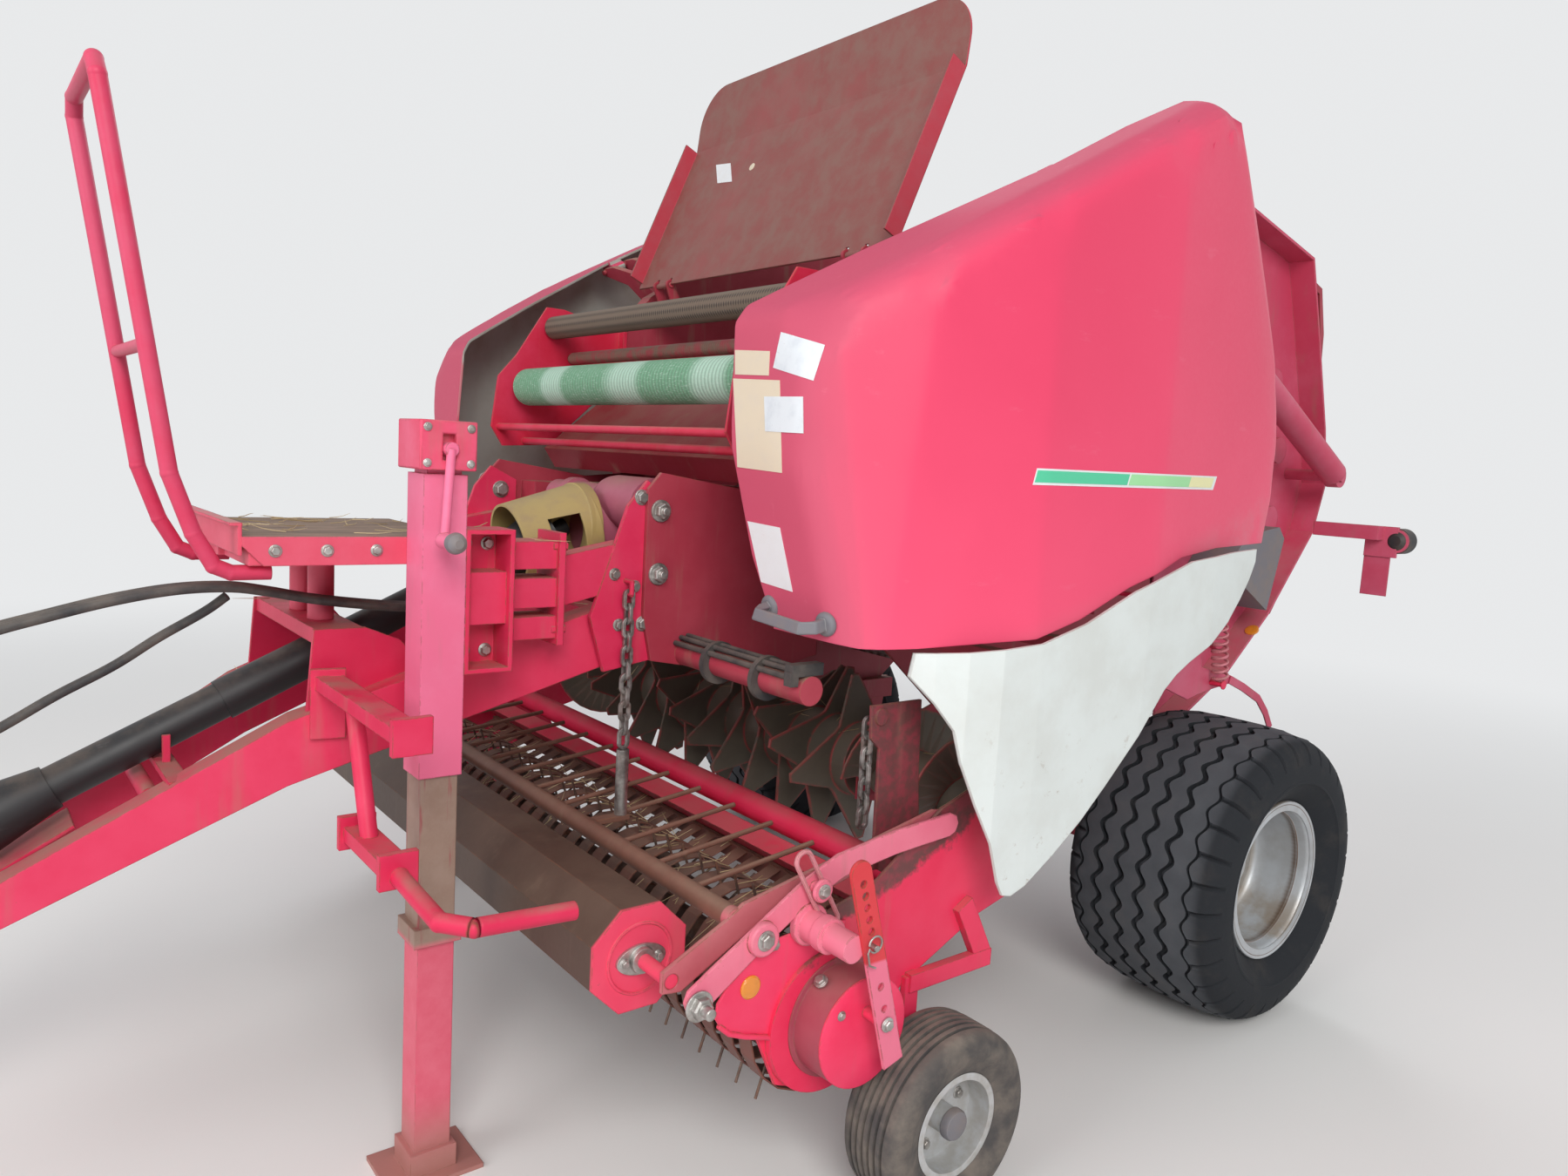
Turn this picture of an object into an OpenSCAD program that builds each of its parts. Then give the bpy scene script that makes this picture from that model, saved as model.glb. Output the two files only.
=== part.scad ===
// Round baler with a fixed roller chamber, parked on its side jack with the net hood raised.
// All lengths are in millimetres. +X points forward to the hitch, +Y to the left side, +Z up.
// The modules measure from the ground under the wheel axle; place() then moves the finished
// piece so that the origin lies on the ground under the middle of the machine.

/* [Chamber] */
// Radius of the bale that the rollers enclose
bale_r = 625; // [600:5:640]
// Inner width of the bale chamber
chamber_w = 1230; // [1200:10:1240]
// Diameter of a chamber roller over its ribs
roller_d = 190; // [180:2:196]
// Number of chamber rollers
roller_count = 18; // [16:1:18]
// Height of the middle of the chamber above the ground
chamber_z = 1600; // [1590:5:1610]

/* [Wheels] */
// Outer radius of a main tyre
tyre_r = 433; // [420:1:440]
// Section width of a main tyre
tyre_w = 491; // [440:1:500]
// Distance between the middles of the two main tyres
track_w = 1990; // [1980:5:2040]
// Outer radius of a gauge tyre
gauge_r = 205; // [195:1:210]
// Section width of a gauge tyre
gauge_w = 165; // [140:5:170]

/* [Drawbar] */
// Distance from the axle to the middle of the hitch eye
hitch_x = 3420; // [3380:10:3460]
// Height of the hitch eye's middle above the ground
hitch_z = 450; // [430:5:470]
// Bore of the hitch eye
eye_bore_d = 50; // [40:1:52]
// Width of a drawbar beam
beam_w = 90; // [80:1:100]
// Height of a drawbar beam
beam_h = 130; // [120:1:140]

/* [Pickup] */
// Width of the pickup between its side plates
pickup_w = 2180; // [2160:10:2200]
// Radius of the circle that the tine tips run on
tine_tip_r = 245; // [230:1:250]
// Radius of the stripper bands round the reel
stripper_r = 168; // [160:1:172]
// Spacing of the stripper bands
stripper_pitch = 70; // [70:1:80]

/* [Covers] */
// Outer reach of the side shields from the middle
shield_y = 1200; // [1190:2:1206]
// Wall thickness of the moulded shields
shield_t = 8; // [6:1:10]
// Width of the raised net hood
hood_w = 1240; // [1200:10:1244]

/* [Hidden] */
$fn = 48;
seat = 0.3;
plate = 8;

// Row names of the sub-parts

// Overall places
rear_x = -1130;
nose_x = hitch_x + 60;
mid_x = (rear_x + nose_x) / 2;
axle_z = tyre_r;
wall_y = chamber_w / 2;
chamber_x = -100;
chamber_c = [chamber_x, chamber_z];
roller_orbit = bale_r + roller_d / 2;
tailgate_pivot = [-60, 2430];
tail_gap = 12;

// Colours as the photo shows them
red = [0.72, 0.13, 0.18];
faded_red = [0.80, 0.24, 0.32];
dark_red = [0.42, 0.08, 0.10];
cream = [0.86, 0.85, 0.80];
steel_grey = [0.55, 0.56, 0.57];
rust_brown = [0.42, 0.29, 0.21];
black = [0.07, 0.07, 0.08];
silver = [0.75, 0.76, 0.78];
yellow = [0.93, 0.76, 0.12];

// Basic helpers

// Moves a piece from the axle's frame to the middle of the machine
module place() translate([-mid_x, 0, 0]) children();

// Draws a piece on the left and its mirror image on the right
module both() {
  children();
  mirror([0, 1, 0]) children();
}

// Draws a piece on the left for side 1 and on the right for side -1
module side(s) mirror([0, s < 0 ? 1 : 0, 0]) children();

// Extrudes an outline in X and Z from y0 over the thickness t
module xz(y0, t) translate([0, y0 + t, 0]) rotate([90, 0, 0]) linear_extrude(t) children();

// Flat plate with its outline in X and Z
module plate_xz(y0, t, pts) xz(y0, t) polygon(pts);

// Cylinder along Y from y0 to y1 at the place p in X and Z
module rod_y(p, r, y0, y1) translate([p[0], y1, p[1]]) rotate([90, 0, 0]) cylinder(r = r, h = y1 - y0);

// Cylinder from point a to point b
module bar(a, b, r) {
  d = b - a;
  l = norm(d);
  translate(a) rotate([0, acos(d[2] / l), atan2(d[1], d[0])]) cylinder(r = r, h = l);
}

// Pipe through a list of points with round elbows
module pipe(pts, r) {
  for (i = [0:len(pts) - 2]) bar(pts[i], pts[i + 1], r);
  if (len(pts) > 2) for (i = [1:len(pts) - 2]) translate(pts[i]) sphere(r = r + 0.6);
}

// Box beam from point a to point b, w wide and h high, with its sides upright
module beam(a, b, w, h) {
  d = b - a;
  l = norm(d);
  yaw = atan2(d[1], d[0]);
  pitch = asin(d[2] / l);
  translate(a) rotate([0, -pitch, yaw]) translate([0, -w / 2, -h / 2]) cube([l, w, h]);
}

// Point on a circle in X and Z at angle a
function on_circle(c, r, a) = [c[0] + r * cos(a), c[1] + r * sin(a)];
// Arc of n steps in X and Z
function arc(c, r, a0, a1, n) = [for (i = [0:n]) on_circle(c, r, a0 + (a1 - a0) * i / n)];
// Point p turned about c by angle a
function turned(p, c, a) = [c[0] + (p[0] - c[0]) * cos(a) - (p[1] - c[1]) * sin(a),
  c[1] + (p[0] - c[0]) * sin(a) + (p[1] - c[1]) * cos(a)];

// Outline of a strip of thickness t along an open path; it lies to the path's right
function unit(v) = v / norm(v);
function path_n(pts, i) = let (u = unit(pts[i + 1] - pts[i])) [u[1], -u[0]];
function mitre(pts, t) = [for (i = [0:len(pts) - 1])
  let (a = path_n(pts, max(i - 1, 0)), b = path_n(pts, min(i,
      len(pts) - 2))) pts[i] + t * (a + b) / (1 + a * b)];
function strip(pts, t) = concat(pts, rev(mitre(pts, t)));
function rev(v) = [for (i = [len(v) - 1:-1:0]) v[i]];
function part(v, i0, i1) = [for (i = [i0:i1]) v[i]];

// Chamber rollers: the intake stays open between the last and the first roller
intake_a = -38;
roller_span = 340;
function roller_a(i) = intake_a + 10 + i * roller_span / (roller_count - 1);
tail_first = ceil((85 - roller_a(0)) / (roller_span / (roller_count - 1)));
tail_last = floor((262 - roller_a(0)) / (roller_span / (roller_count - 1)));
roller_ribs = 10;
module chamber_roller(a) {
  c = on_circle(chamber_c, roller_orbit, a);
  translate([c[0], wall_y - 6, c[1]]) rotate([90, a, 0]) linear_extrude(chamber_w - 12) {
    circle(r = roller_d / 2 - 9);
    for (k = [0:roller_ribs - 1]) rotate(k * 360 / roller_ribs)
      translate([roller_d / 2 - 12, -6]) square([12, 12]);
  }
  rod_y(c, 25, -wall_y + seat, wall_y - seat);
}

module front_rollers() color(steel_grey) place() {
  for (i = [0:tail_first - 1]) chamber_roller(roller_a(i));
  for (i = [tail_last + 1:1:roller_count - 1]) chamber_roller(roller_a(i));
}

module tailgate_rollers() color(steel_grey) place()
  for (i = [tail_first:tail_last]) chamber_roller(roller_a(i));

// Chassis: front chamber walls, axle, headstock and the anchors of the tailgate
front_wall = [[-40, 2290], [-20, 2330], [300, 2380], [760, 2300], [1090, 2090], [1180, 1980],
  [1180, 1300], [1120, 1120], [860, 900], [820, 700], [600, 620], [-60, 640], [-185, 740],
      [-185, 960], [-120, 1110]];
axle_beam = 120;
stub_r = 34.95;
hub_in_y = track_w / 2 - 120;
pin_r = 24.95;
head_x = 1650;
head_y = 455;
head_plate = [[1180, 1050], [1380, 1010], [1700, 1070], [1725, 1180], [1725, 1480], [1690, 1520],
  [1400, 1480], [1180, 1500]];
cross_c = [1600, 1085];
anchor = [330, 2250];
anchor_y = 800;
rotor_c = [1070, 770];
rotor_arm = [[700, 720], [760, 900], [860, 930], [1010, 880], [1150, 850], [1150, 690], [1010, 660],
    [820, 640]];

module wall_set() {
  plate_xz(wall_y, plate, front_wall);
  // Edge flanges that stiffen the wall
  plate_xz(wall_y + 1, 60, strip(part(front_wall, 2, 5), 10));
  translate([1170, wall_y, 1310]) cube([10, 60, 660]);
  // Upright ribs
  for (x = [250, 700]) translate([x, wall_y + 4, 1150]) cube([8, 60, 1050]);
  // Lower beam over the axle
  translate([-140, wall_y - 40, 600]) cube([980, 100, 80]);
  // Bearings of the front rollers
  for (i = [0:tail_first - 1]) rod_y(on_circle(chamber_c, roller_orbit, roller_a(i)), 48, wall_y + 2,
      wall_y + 34);
  // Plate that carries the feed rotor
  plate_xz(wall_y + plate, 6, rotor_arm);
}

module chassis() color(red) place() {
  difference() {
    union() {
      both() {
        wall_set();
        // Axle bracket and stub axle
        plate_xz(wall_y, 14, [[-150, 680], [160, 680], [110, 360], [-90, 360]]);
        plate_xz(740, 10, [[-120, 640], [140, 640], [90, 380], [-70, 380]]);
        rod_y([0, axle_z], stub_r, 700, track_w / 2 + 40);
        // Headstock plate and its arms
        plate_xz(head_y, 12, head_plate);
        translate([1178, 360, 1100]) cube([440, 95.5, 90]);
        translate([1178, 360, 1400]) cube([440, 95.5, 60]);
        // Tailgate pivot boss and the fork of the lift cylinder
        rod_y(tailgate_pivot, pin_r, wall_y, wall_y + 44);
        rod_y(tailgate_pivot, 60, wall_y, wall_y + plate);
        plate_xz(wall_y, plate, [[-38, 2240], [-38, 2430], [-60, 2490], [-20, 2478], [110, 2350],
            [60, 2200]]);
        // Brackets of the side shield's hinge and of the fender
        for (z = hinge_tabs) hinge_line() {
          translate([0, 0, z - 40]) cylinder(r = hinge_pin_r, h = 130);
          for (k = [-30, 60]) translate([0, 0, z + k]) linear_extrude(20)
            polygon([[-12, 8], [14, 8], [60, -120], [330, -364], [200, -364], [30, -200], [-12, -60]]);
        }
        for (p = [[835, 1140], [1100, 1130]]) translate([p[0], wall_y + 2, p[1]]) cube([40,
            1213 - seat - wall_y - 2, 30]);
        for (dy = [-38, 26]) plate_xz(anchor_y + dy, 12,
          [[230, 2112], [290, 2300], [370, 2300], [420, 2112]]);
        translate([230, wall_y + 4, 2110]) cube([190, anchor_y + 38 - wall_y - 4, 14]);
      }
      // Hinge lugs of the hood on their cross beam
      both() for (y = hinge_lugs) difference() {
        union() {
          rod_y(hood_hinge, 17, y, y + 8);
          plate_xz(y, 8, [[1082, 2042], [1120, 2042], [1145, 2100], [1116, 2116]]);
        }
        rod_y(hood_hinge, hinge_r + 0.05, y - 5, y + 15);
      }
      translate([1080, -wall_y - 4, 2030]) cube([40, chamber_w + 8, 30]);
      // Axle beam and cross beams
      translate([-axle_beam / 2, -760, axle_z - axle_beam / 2]) cube([axle_beam, 1520, axle_beam]);
      translate([1150, -wall_y, 1240]) cube([30, chamber_w, 240]);
      translate([1150, -wall_y, 1800]) cube([30, chamber_w, 100]);
      translate([560, -wall_y, 600]) cube([60, chamber_w, 60]);
      rod_y(cross_c, 32, -950, 950);
      translate([1178, -wall_y - 4, 1200]) cube([20, chamber_w + 8, 60]);
    }
    // Bore for the rotor's shaft and the bolts of the headstock
    rod_y(rotor_c, 38, -wall_y - 60, wall_y + 60);
    for (p = [[1690, 1430], [1690, 1280]]) rod_y(p, 17, -head_y - 20, head_y + 20);
  }
}

// Dark plate across the front below the net box
module front_panel() color(dark_red) place() {
  plate_pts = [[1180.3, 1500.3], [1430, 1500.3], [1470, 1560], [1190, 1790], [1180.3, 1790]];
  difference() {
    xz(-612, 1224) polygon(plate_pts);
    xz(-604, 1208) polygon([[1160, 1512], [1424, 1512], [1452, 1558], [1188, 1776], [1160, 1776]]);
  }
}

// Gearbox block with the elbow housing of the side drive
gear_c = [1500, 0, 1330];
// Middle of the housing's cross tube in X and Z
gear_top = [1553, 1425];
module gearbox() color([0.42, 0.13, 0.20]) place() {
  translate([1198.3, -150, 1201]) cube([380, 300, 198]);
  translate([1578.3, 0, 1345]) rotate([0, 90, 0]) cylinder(r = 95, h = 70);
  bar([1300, 150, 1290], [1300, 350, 1290], 50);
  // Cross tube with its ring, the drum and the neck to the shaft's cone
  rod_y(gear_top, 46, -330, 60);
  rod_y(gear_top, 56, -240, -205);
  rod_y(gear_top, 74, 30, 215);
  translate([gear_top[0], 20, gear_top[1]]) sphere(r = 72);
  translate([gear_top[0], 0, gear_top[1]]) rotate([0, 128, 0]) cylinder(r = 60, h = 66);
}

// Yellow cone over the drive shaft's joint, with its window
module pto_cone() color(yellow) place() {
  translate([1648.6, 0, 1350]) rotate([0, 90, 0]) difference() {
    cylinder(r = 123, h = 34);
    translate([0, 0, -1]) cylinder(r = 72, h = 40);
  }
  translate([1648.6, 0, 1350]) rotate([0, 90 + 12, 0]) difference() {
  cylinder(r1 = 125, r2 = 108, h = 215);
  translate([0, 0, -1]) cylinder(r1 = 118, r2 = 101, h = 217);
  translate([-60, 60, 50]) cube([120, 90, 90]);
  }
}

// Drive shaft in its guard tube, parked on the drawbar's hook
pto_rear = [1700, 0, 1355];
pto_front = [3000, 0, 736];
pto_r = 42;
pto_dir = (pto_front - pto_rear) / norm(pto_front - pto_rear);
pto_tilt = 90 + asin(-pto_dir[2]);
hook_x = 2660;
hook_z = pto_rear[2] + (hook_x + 20 - pto_rear[0]) * pto_dir[2] / pto_dir[0] - pto_r / pto_dir[0] - seat;
module pto_shaft() color(black) place() {
  bar(pto_rear + 60 * pto_dir, pto_front, pto_r);
  bar(pto_rear, pto_rear + 60 * pto_dir, 24);
  translate(pto_rear + 60 * pto_dir) rotate([0, pto_tilt, 0]) cylinder(r1 = 82, r2 = 50, h = 150);
  translate(pto_front - 150 * pto_dir) rotate([0, pto_tilt, 0]) cylinder(r1 = 48, r2 = 74, h = 160);
  bar(pto_rear + 700 * pto_dir, pto_rear + 930 * pto_dir, 47);
  bar(pto_front, pto_front + 90 * pto_dir, 26);
}

// Drawbar: two converging box beams, the head with its eye, and the shaft's hook
bar_rear = [1760, 400, 1145];
bar_front = [hitch_x - 170, 66, hitch_z + 15];
// Side outline of a beam, deeper at the rear: X and Z
bar_top = [[bar_rear[0], bar_rear[2] + beam_h / 2 + 5], [2460, 962], [2960, 667],
    [bar_front[0], bar_front[2] + 42]];
bar_low = [[bar_front[0], bar_front[2] - 42], [2960, 575], [2460, 823],
    [bar_rear[0], bar_rear[2] - beam_h / 2 - 5]];
bar_yaw = atan2(bar_front[1] - bar_rear[1], bar_front[0] - bar_rear[0]);
head_bolts = [[-58, -46], [58, -46], [-58, 46], [58, 46]];
holder_y = [-40, 10, 60, 110];
leg_y = 268;
mount_x = [1950, 2074];
mount_y = 457;
seat_z = 1152;
module drawbar() color(dark_red) place() {
  difference() {
    union() {
      both() {
        translate([bar_rear[0], bar_rear[1], 0]) rotate([0, 0, bar_yaw]) xz(-beam_w / 2, beam_w)
          polygon([for (p = concat(bar_top, bar_low)) [(p[0] - bar_rear[0]) / cos(bar_yaw), p[1]]]);
        // Staple of the chain
        rod_y(staple, 5, head_y - 5, staple_y + 14);
        translate([staple[0], staple_y + 12, staple[1]]) cylinder(r = 5.6, h = 30);
        rod_y([staple[0], staple[1] + 30], 5, head_y - 5, staple_y + 16);
        // Fork plates bolted to the headstock
        plate_xz(head_y - 12, 12, [[1640, 1100], [1640, 1460], [1720, 1500], [1770, 1440],
            [1860, 1180], [1820, 1050], [1700, 1070]]);
      }
      translate([1745, -400, 1105]) cube([70, 800, 80]);
      // Head plate, the eye's flange on four bolts, and the eye
      translate([hitch_x - 190, -125, hitch_z - 75]) cube([25, 250, 165]);
      translate([hitch_x - 166, -85, hitch_z - 70]) cube([22, 170, 140]);
      translate([hitch_x - 150, -42, hitch_z - 22]) cube([110, 84, 44]);
      translate([hitch_x, 0, hitch_z - 25]) cylinder(r = 60, h = 50);
      for (b = head_bolts) translate([hitch_x - 200, b[0], hitch_z + b[1]]) rotate([0, 90,
          0]) cylinder(r = 14, h = 70, $fn = 6);
      // Holder of the hose ends
      translate([hitch_x - 188, -75, hitch_z + 80]) cube([20, 220, 88]);
      translate([hitch_x - 180, -73, hitch_z + 162]) cube([105, 216, 8]);
      for (y = holder_y) translate([hitch_x - 115, y, hitch_z + 130]) cylinder(r = 22, h = 60);
      // Seat and legs of the platform's posts
      for (y = [-leg_y, leg_y - 12]) plate_xz(y, 12, [[2160, 1040], [2430, 950], [2414, seat_z],
          [2306, seat_z], [2230, 1120]]);
      translate([2310, -leg_y, seat_z - 34]) cube([100, 2 * leg_y, 34]);
      // Upper beams and, on the left, the flanges with spacers and the channel of the jack
      both() xz(398, 55) polygon([[1700, 1370], [1955, 1320], [1955, 1205], [1700, 1262]]);
      for (x = mount_x) translate([x, 392, 1130]) cube([16, 110, 250]);
      for (z = [[1145, 50], [1215, 65], [1300, 60]])
        translate([mount_x[0] + 15, 402, z[0]]) cube([mount_x[1] - mount_x[0] - 14, 90, z[1]]);
      translate([mount_x[1] + 15, mount_y, 1090]) difference() {
        cube([mount_w, 88, 300]);
        translate([10, 10, 10]) cube([mount_w - 20, 90, 280]);
      }
      translate([mount_x[1] + 24, mount_y + 8, 1190]) cube([mount_w - 18, 62, 110]);
      for (x = mount_x) for (y = [412, 484]) for (z = [1165, 1350])
        translate([x - 9, y, z]) rotate([0, 90, 0]) cylinder(r = 12, h = 34, $fn = 6);
      // Hook under the shaft
      beam([hook_x, -215, hook_z - 8], [hook_x, 215, hook_z - 8], 40, 16);
      for (y = [-60, 52]) translate([hook_x - 8, y, hook_z - 10]) cube([16, 8, 70]);
      rod_y([2702, 792], 18, -200, 130);
      // Web plate between the beams' front ends
      beam([2830, 0, 728], [bar_front[0], 0, bar_front[2] + 24], 130, 8);
    }
    translate([hitch_x, 0, hitch_z - 60]) cylinder(r = eye_bore_d / 2, h = 120);
    for (p = [[1690, 1430], [1690, 1280]]) rod_y(p, 17, -head_y - 20, head_y + 20);
  }
}

// Net box: side cheeks, lower guard tubes and the mesh tray
net_c = [1531, 1749];
net_r = 58;
net_y = 640;
cheek = [[1190, 1800], [1440, 1570], [1600, 1560], [1640, 1620], [1620, 1780], [1560, 1850],
    [1460, 2010], [1400, 2010], [1190, 1960]];
module net_box() color(faded_red) place() {
  both() difference() {
    plate_xz(net_y + seat, 8, cheek);
    rod_y(net_c, 20, net_y - 5, net_y + 20);
    rod_y([1437, 1946], 16, net_y - 5, net_y + 20);
    rod_y([1366, 1855], 16, net_y - 5, net_y + 20);
  }
  rod_y([1612, 1620], 11, -net_y - 1, net_y + 1);
  rod_y([1525, 1580], 11, -net_y - 1, net_y + 1);
  both() translate([1180.3, net_y - 30, 1790.3]) cube([14, 38, 170]);
}

module net_roll() color([0.55, 0.72, 0.56]) place() {
  rod_y(net_c, net_r, -600, 600);
  rod_y(net_c, 19.7, -net_y - 6, net_y + 6);
}

module net_rollers() color(rust_brown) place() {
  rod_y([1437, 1946], 36, -net_y + 12, net_y - 12);
  rod_y([1437, 1946], 15.7, -net_y - 6, net_y + 6);
  rod_y([1366, 1855], 20, -net_y + 12, net_y - 12);
  rod_y([1366, 1855], 15.7, -net_y - 6, net_y + 6);
}

// Platform over the drawbar, its rail and posts
deck_x = [2150, 2592];
deck_y = [-60, 446];
deck_z = 1345;
post_x = 2360;
// Place of the left beam's middle, as Y and Z, at a given X
function beam_at(x) = let (k = (x - bar_rear[0]) / (bar_front[0] - bar_rear[0]))
  [bar_rear[1] + k * (bar_front[1] - bar_rear[1]), lookup(x, bar_top) / 2 + lookup(x, bar_low) / 2];
module platform() color(rust_brown) place() {
  translate([deck_x[0], deck_y[0], deck_z]) cube([deck_x[1] - deck_x[0], deck_y[1] - deck_y[0], 21]);
  // Side rail with its cut corner, front flange and cross pieces
  plate_xz(deck_y[1], 8.7, [[deck_x[0], deck_z - 34], [2555, deck_z - 34], [deck_x[1], deck_z + 4],
      [deck_x[1], deck_z + 22], [deck_x[0], deck_z + 22]]);
  translate([deck_x[1], deck_y[0], deck_z - 14]) cube([7, deck_y[1] - deck_y[0] + 4, 62]);
  translate([deck_x[1] - 1, deck_y[0], deck_z + 42]) cube([22, deck_y[1] - deck_y[0] + 4, 6]);
  for (x = [2170, post_x - 25, 2530]) translate([x, deck_y[0], deck_z - 34]) cube([50,
      deck_y[1] - deck_y[0], 34]);
  for (y = [deck_y[0], 200]) translate([deck_x[0], y, deck_z - 34]) cube([deck_x[1] - deck_x[0], 40, 34]);
  // Round posts on the seat over the drawbar
  translate([post_x, 120, seat_z + seat]) cylinder(r = 28, h = deck_z - seat_z - 20);
  translate([post_x, -32, seat_z + seat]) cylinder(r = 28, h = deck_z - seat_z - 20);
}

// Handrail: one bent tube with a cross bar that holds the cables' loop
module handrail() color(red) place() {
  pipe([[2535, 418, deck_z - 49.3], [2604, 418, deck_z - 49.3], [2634, 418, 1309], [2668, 418, 1370],
      [2706, 418, 1480], [2806, 412, 2150], [2808, 385, 2180], [2808, 85, 2180], [2806, 58, 2150],
      [2706, 50, 1480],
    [2668, 50, 1370], [2634, 50, 1309], [2604, 50, deck_z - 49.3], [2535, 50, deck_z - 49.3]], 15);
  pipe([[2740, 412, 1708], [2740, 55, 1708]], 12);
  bar([2740, 55, 1708], [2740, 5, 1730], 12);
}

// Steps beside the jack: two rungs across, joined by a tube, the lower one in a bent tube
step_x = 2395;
rung_z = [1045, 780];
rung_y = [[300, 815], [500, 755]];
module steps() color(red) place() {
  for (i = [0, 1]) {
    translate([step_x - 27, rung_y[i][0], rung_z[i] - 15]) cube([54, rung_y[i][1] - rung_y[i][0], 30]);
    for (y = i == 0 ? [rung_y[0][1] - 14] : [rung_y[1][0], rung_y[1][1] - 14])
      translate([step_x - 36, y, rung_z[i] - 32]) cube([72, 16, 68]);
  }
  // Lug bolted to the drawbar
  translate([step_x, beam_at(step_x)[0] + (beam_w / 2 + seat) / cos(bar_yaw),
      rung_z[0] - 120]) rotate([0, 0, bar_yaw])
    translate([-35, 0, 0]) cube([70, 14, 150]);
  translate([step_x - 25, beam_at(step_x)[0] + beam_w / 2 + 10, rung_z[0] - 14]) cube([50, 60, 28]);
  bar([step_x, 480, rung_z[0] - 5], [step_x, 588, rung_z[1] + 5], 17);
  pipe([[step_x, 745, rung_z[1] - 8], [step_x, 955, 760], [step_x - 45, 995, 755], [2165, 1000, 747]], 17);
}

// Side jack: the case is bolted to the left beam, the leg slides out of it
jack_x = 2240;
jack_y = 500;
jack_w = 90;
mount_w = jack_x - jack_w / 2 - seat - mount_x[1] - 15;
module jack_case() color(red) place() {
  difference() {
    translate([jack_x - jack_w / 2, jack_y - jack_w / 2, 880]) cube([jack_w, jack_w, 620]);
    translate([jack_x - jack_w / 2 + 6, jack_y - jack_w / 2 + 6, 870]) cube([jack_w - 12, jack_w - 12,
        600]);
  }
  translate([jack_x - 35, jack_y - 35, 1500]) cube([70, 70, 100]);
  bar([jack_x, jack_y, 1550], [jack_x, jack_y + 75, 1550], 14);
  bar([jack_x, jack_y + 70, 1550], [jack_x + 20, jack_y + 95, 1370], 9);
  bar([jack_x + 20, jack_y + 88, 1372], [jack_x + 20, jack_y + 150, 1372], 16);
}

module jack_leg() color(red) place() {
  translate([jack_x - 38.7, jack_y - 38.7, 60]) cube([77.4, 77.4, 1000]);
  translate([jack_x - 50, jack_y - 50, 520]) cube([100, 100, 40]);
  translate([jack_x - 100, jack_y - 80, 0]) cube([200, 160, 10]);
  translate([jack_x - 50, jack_y - 50, 10]) cube([100, 100, 50]);
}

// Edge in X and Z where a shield ends and the cover below it begins
cover_edge = [[1185, 1213], [1038, 1249], [861, 1316], [620, 1381], [405, 1400]];

// Moulded side shields: a rounded convex form by its knots, hollowed, with its free edges cut
knot_r = 90;
ridge_y = 1000;
hinge_y = 985;
hinge_at = [800, 2349];
hinge_slope = 27.6;
hinge_pin_r = 9;
hinge_tabs = [-172, 220];
// Knots of the outer side as X, Y and Z
shield_knots = [[1610, 955, 1815], [1618, 950, 1600], [1530, 1030, 1150], [1440, 1040, 1918],
    [1180, 1096, 2075],
  [1180, 1110, 1100], [760, 1100, 2304], [760, 1110, 1200], [500, 1050, 2434], [262, 945, 2308],
      [150, 950, 2150],
  [58, 975, 1850], [32, 985, 1600], [115, 1000, 1350]];
// Knots of the inner side, past the free edges
shield_inner = [[1610, 560, 1830], [1618, 560, 1600], [1530, 560, 1150], [500, 560, 2455], [262, 560, 2320],
  [150, 560, 2150], [58, 560, 1850], [115, 560, 1350]];
module shield_form(r) hull() {
  for (k = shield_knots) translate([k[0], k[1] + shield_y - 1200, k[2]]) sphere(r = r, $fn = 28);
  for (k = shield_inner) translate(k) sphere(r = r, $fn = 12);
}
module hinge_line() translate([hinge_at[0], hinge_y, hinge_at[1]]) rotate([0, 90 + hinge_slope,
    0]) children();
module shield() {
  difference() {
    shield_form(knot_r);
    shield_form(knot_r - shield_t);
    // Free edge of the roof and of the front face
    translate([0, 0, 900]) linear_extrude(1800)
      polygon([[1800, 400], [1800, 700], [1700, 742], [1380, 870], [1040, ridge_y], [-300, ridge_y],
          [-300, 400]]);
    translate([1400, 0, 0]) rotate([90, 0, 90]) linear_extrude(500)
      polygon([[400, 1000], [870, 1000], [850, 1220], [800, 1360], [760, 1640], [742, 1880], [400, 1900]]);
    // Lower edge over the wheel's cover
    xz(400, 1000) polygon(concat([[1800, 900], [1800, 1235], [1600, 1200],
        [1480, 1200]], cover_edge, [[-200, 1412], [-200, 900]]));
  }
  // Tabs that reach the hinge's pins
  for (z = hinge_tabs) hinge_line() translate([0, 0, z]) difference() {
    union() {
      cylinder(r = 16, h = 50);
      translate([-27, 0, 0]) cube([19, 60, 50]);
    }
    translate([0, 0, -5]) cylinder(r = hinge_pin_r + seat, h = 60);
  }
}
module shield_left() color(faded_red) place() shield();
module shield_right() color(faded_red) place() mirror([0, 1, 0]) shield();

// Lower covers between the shields and the main wheels: a bent sheet cut to its outline
fender_t = 7;
fender_low = [[262, 1366], [290, 1320], [335, 1270], [400, 1210], [484, 1160], [590, 1122],
    [650, 1095], [700, 1062], [800, 960], [916, 855],
  [1000, 784], [1090, 722], [1180, 668], [1225, 652], [1252, 658], [1270, 690], [1300, 780],
      [1345, 870], [1385, 960], [1402, 1030], [1440, 1085], [1484, 1140], [1478, 1190]];
fender_path = [[1500, 1100], [1440, 1150], [1380, 1185], [1300, 1207], [1185, 1213], [800, 1213],
    [500, 1196], [240, 1166]];
module fender() intersection() {
  xz(900, 400) polygon(concat(fender_low, [for (p = cover_edge) p - [0, 6]], [[262, 1400]]));
  translate([0, 0, 500]) linear_extrude(1000) polygon(strip(fender_path, fender_t));
}
module fender_left() color(cream) place() fender();
module fender_right() color(cream) place() mirror([0, 1, 0]) fender();

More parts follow.
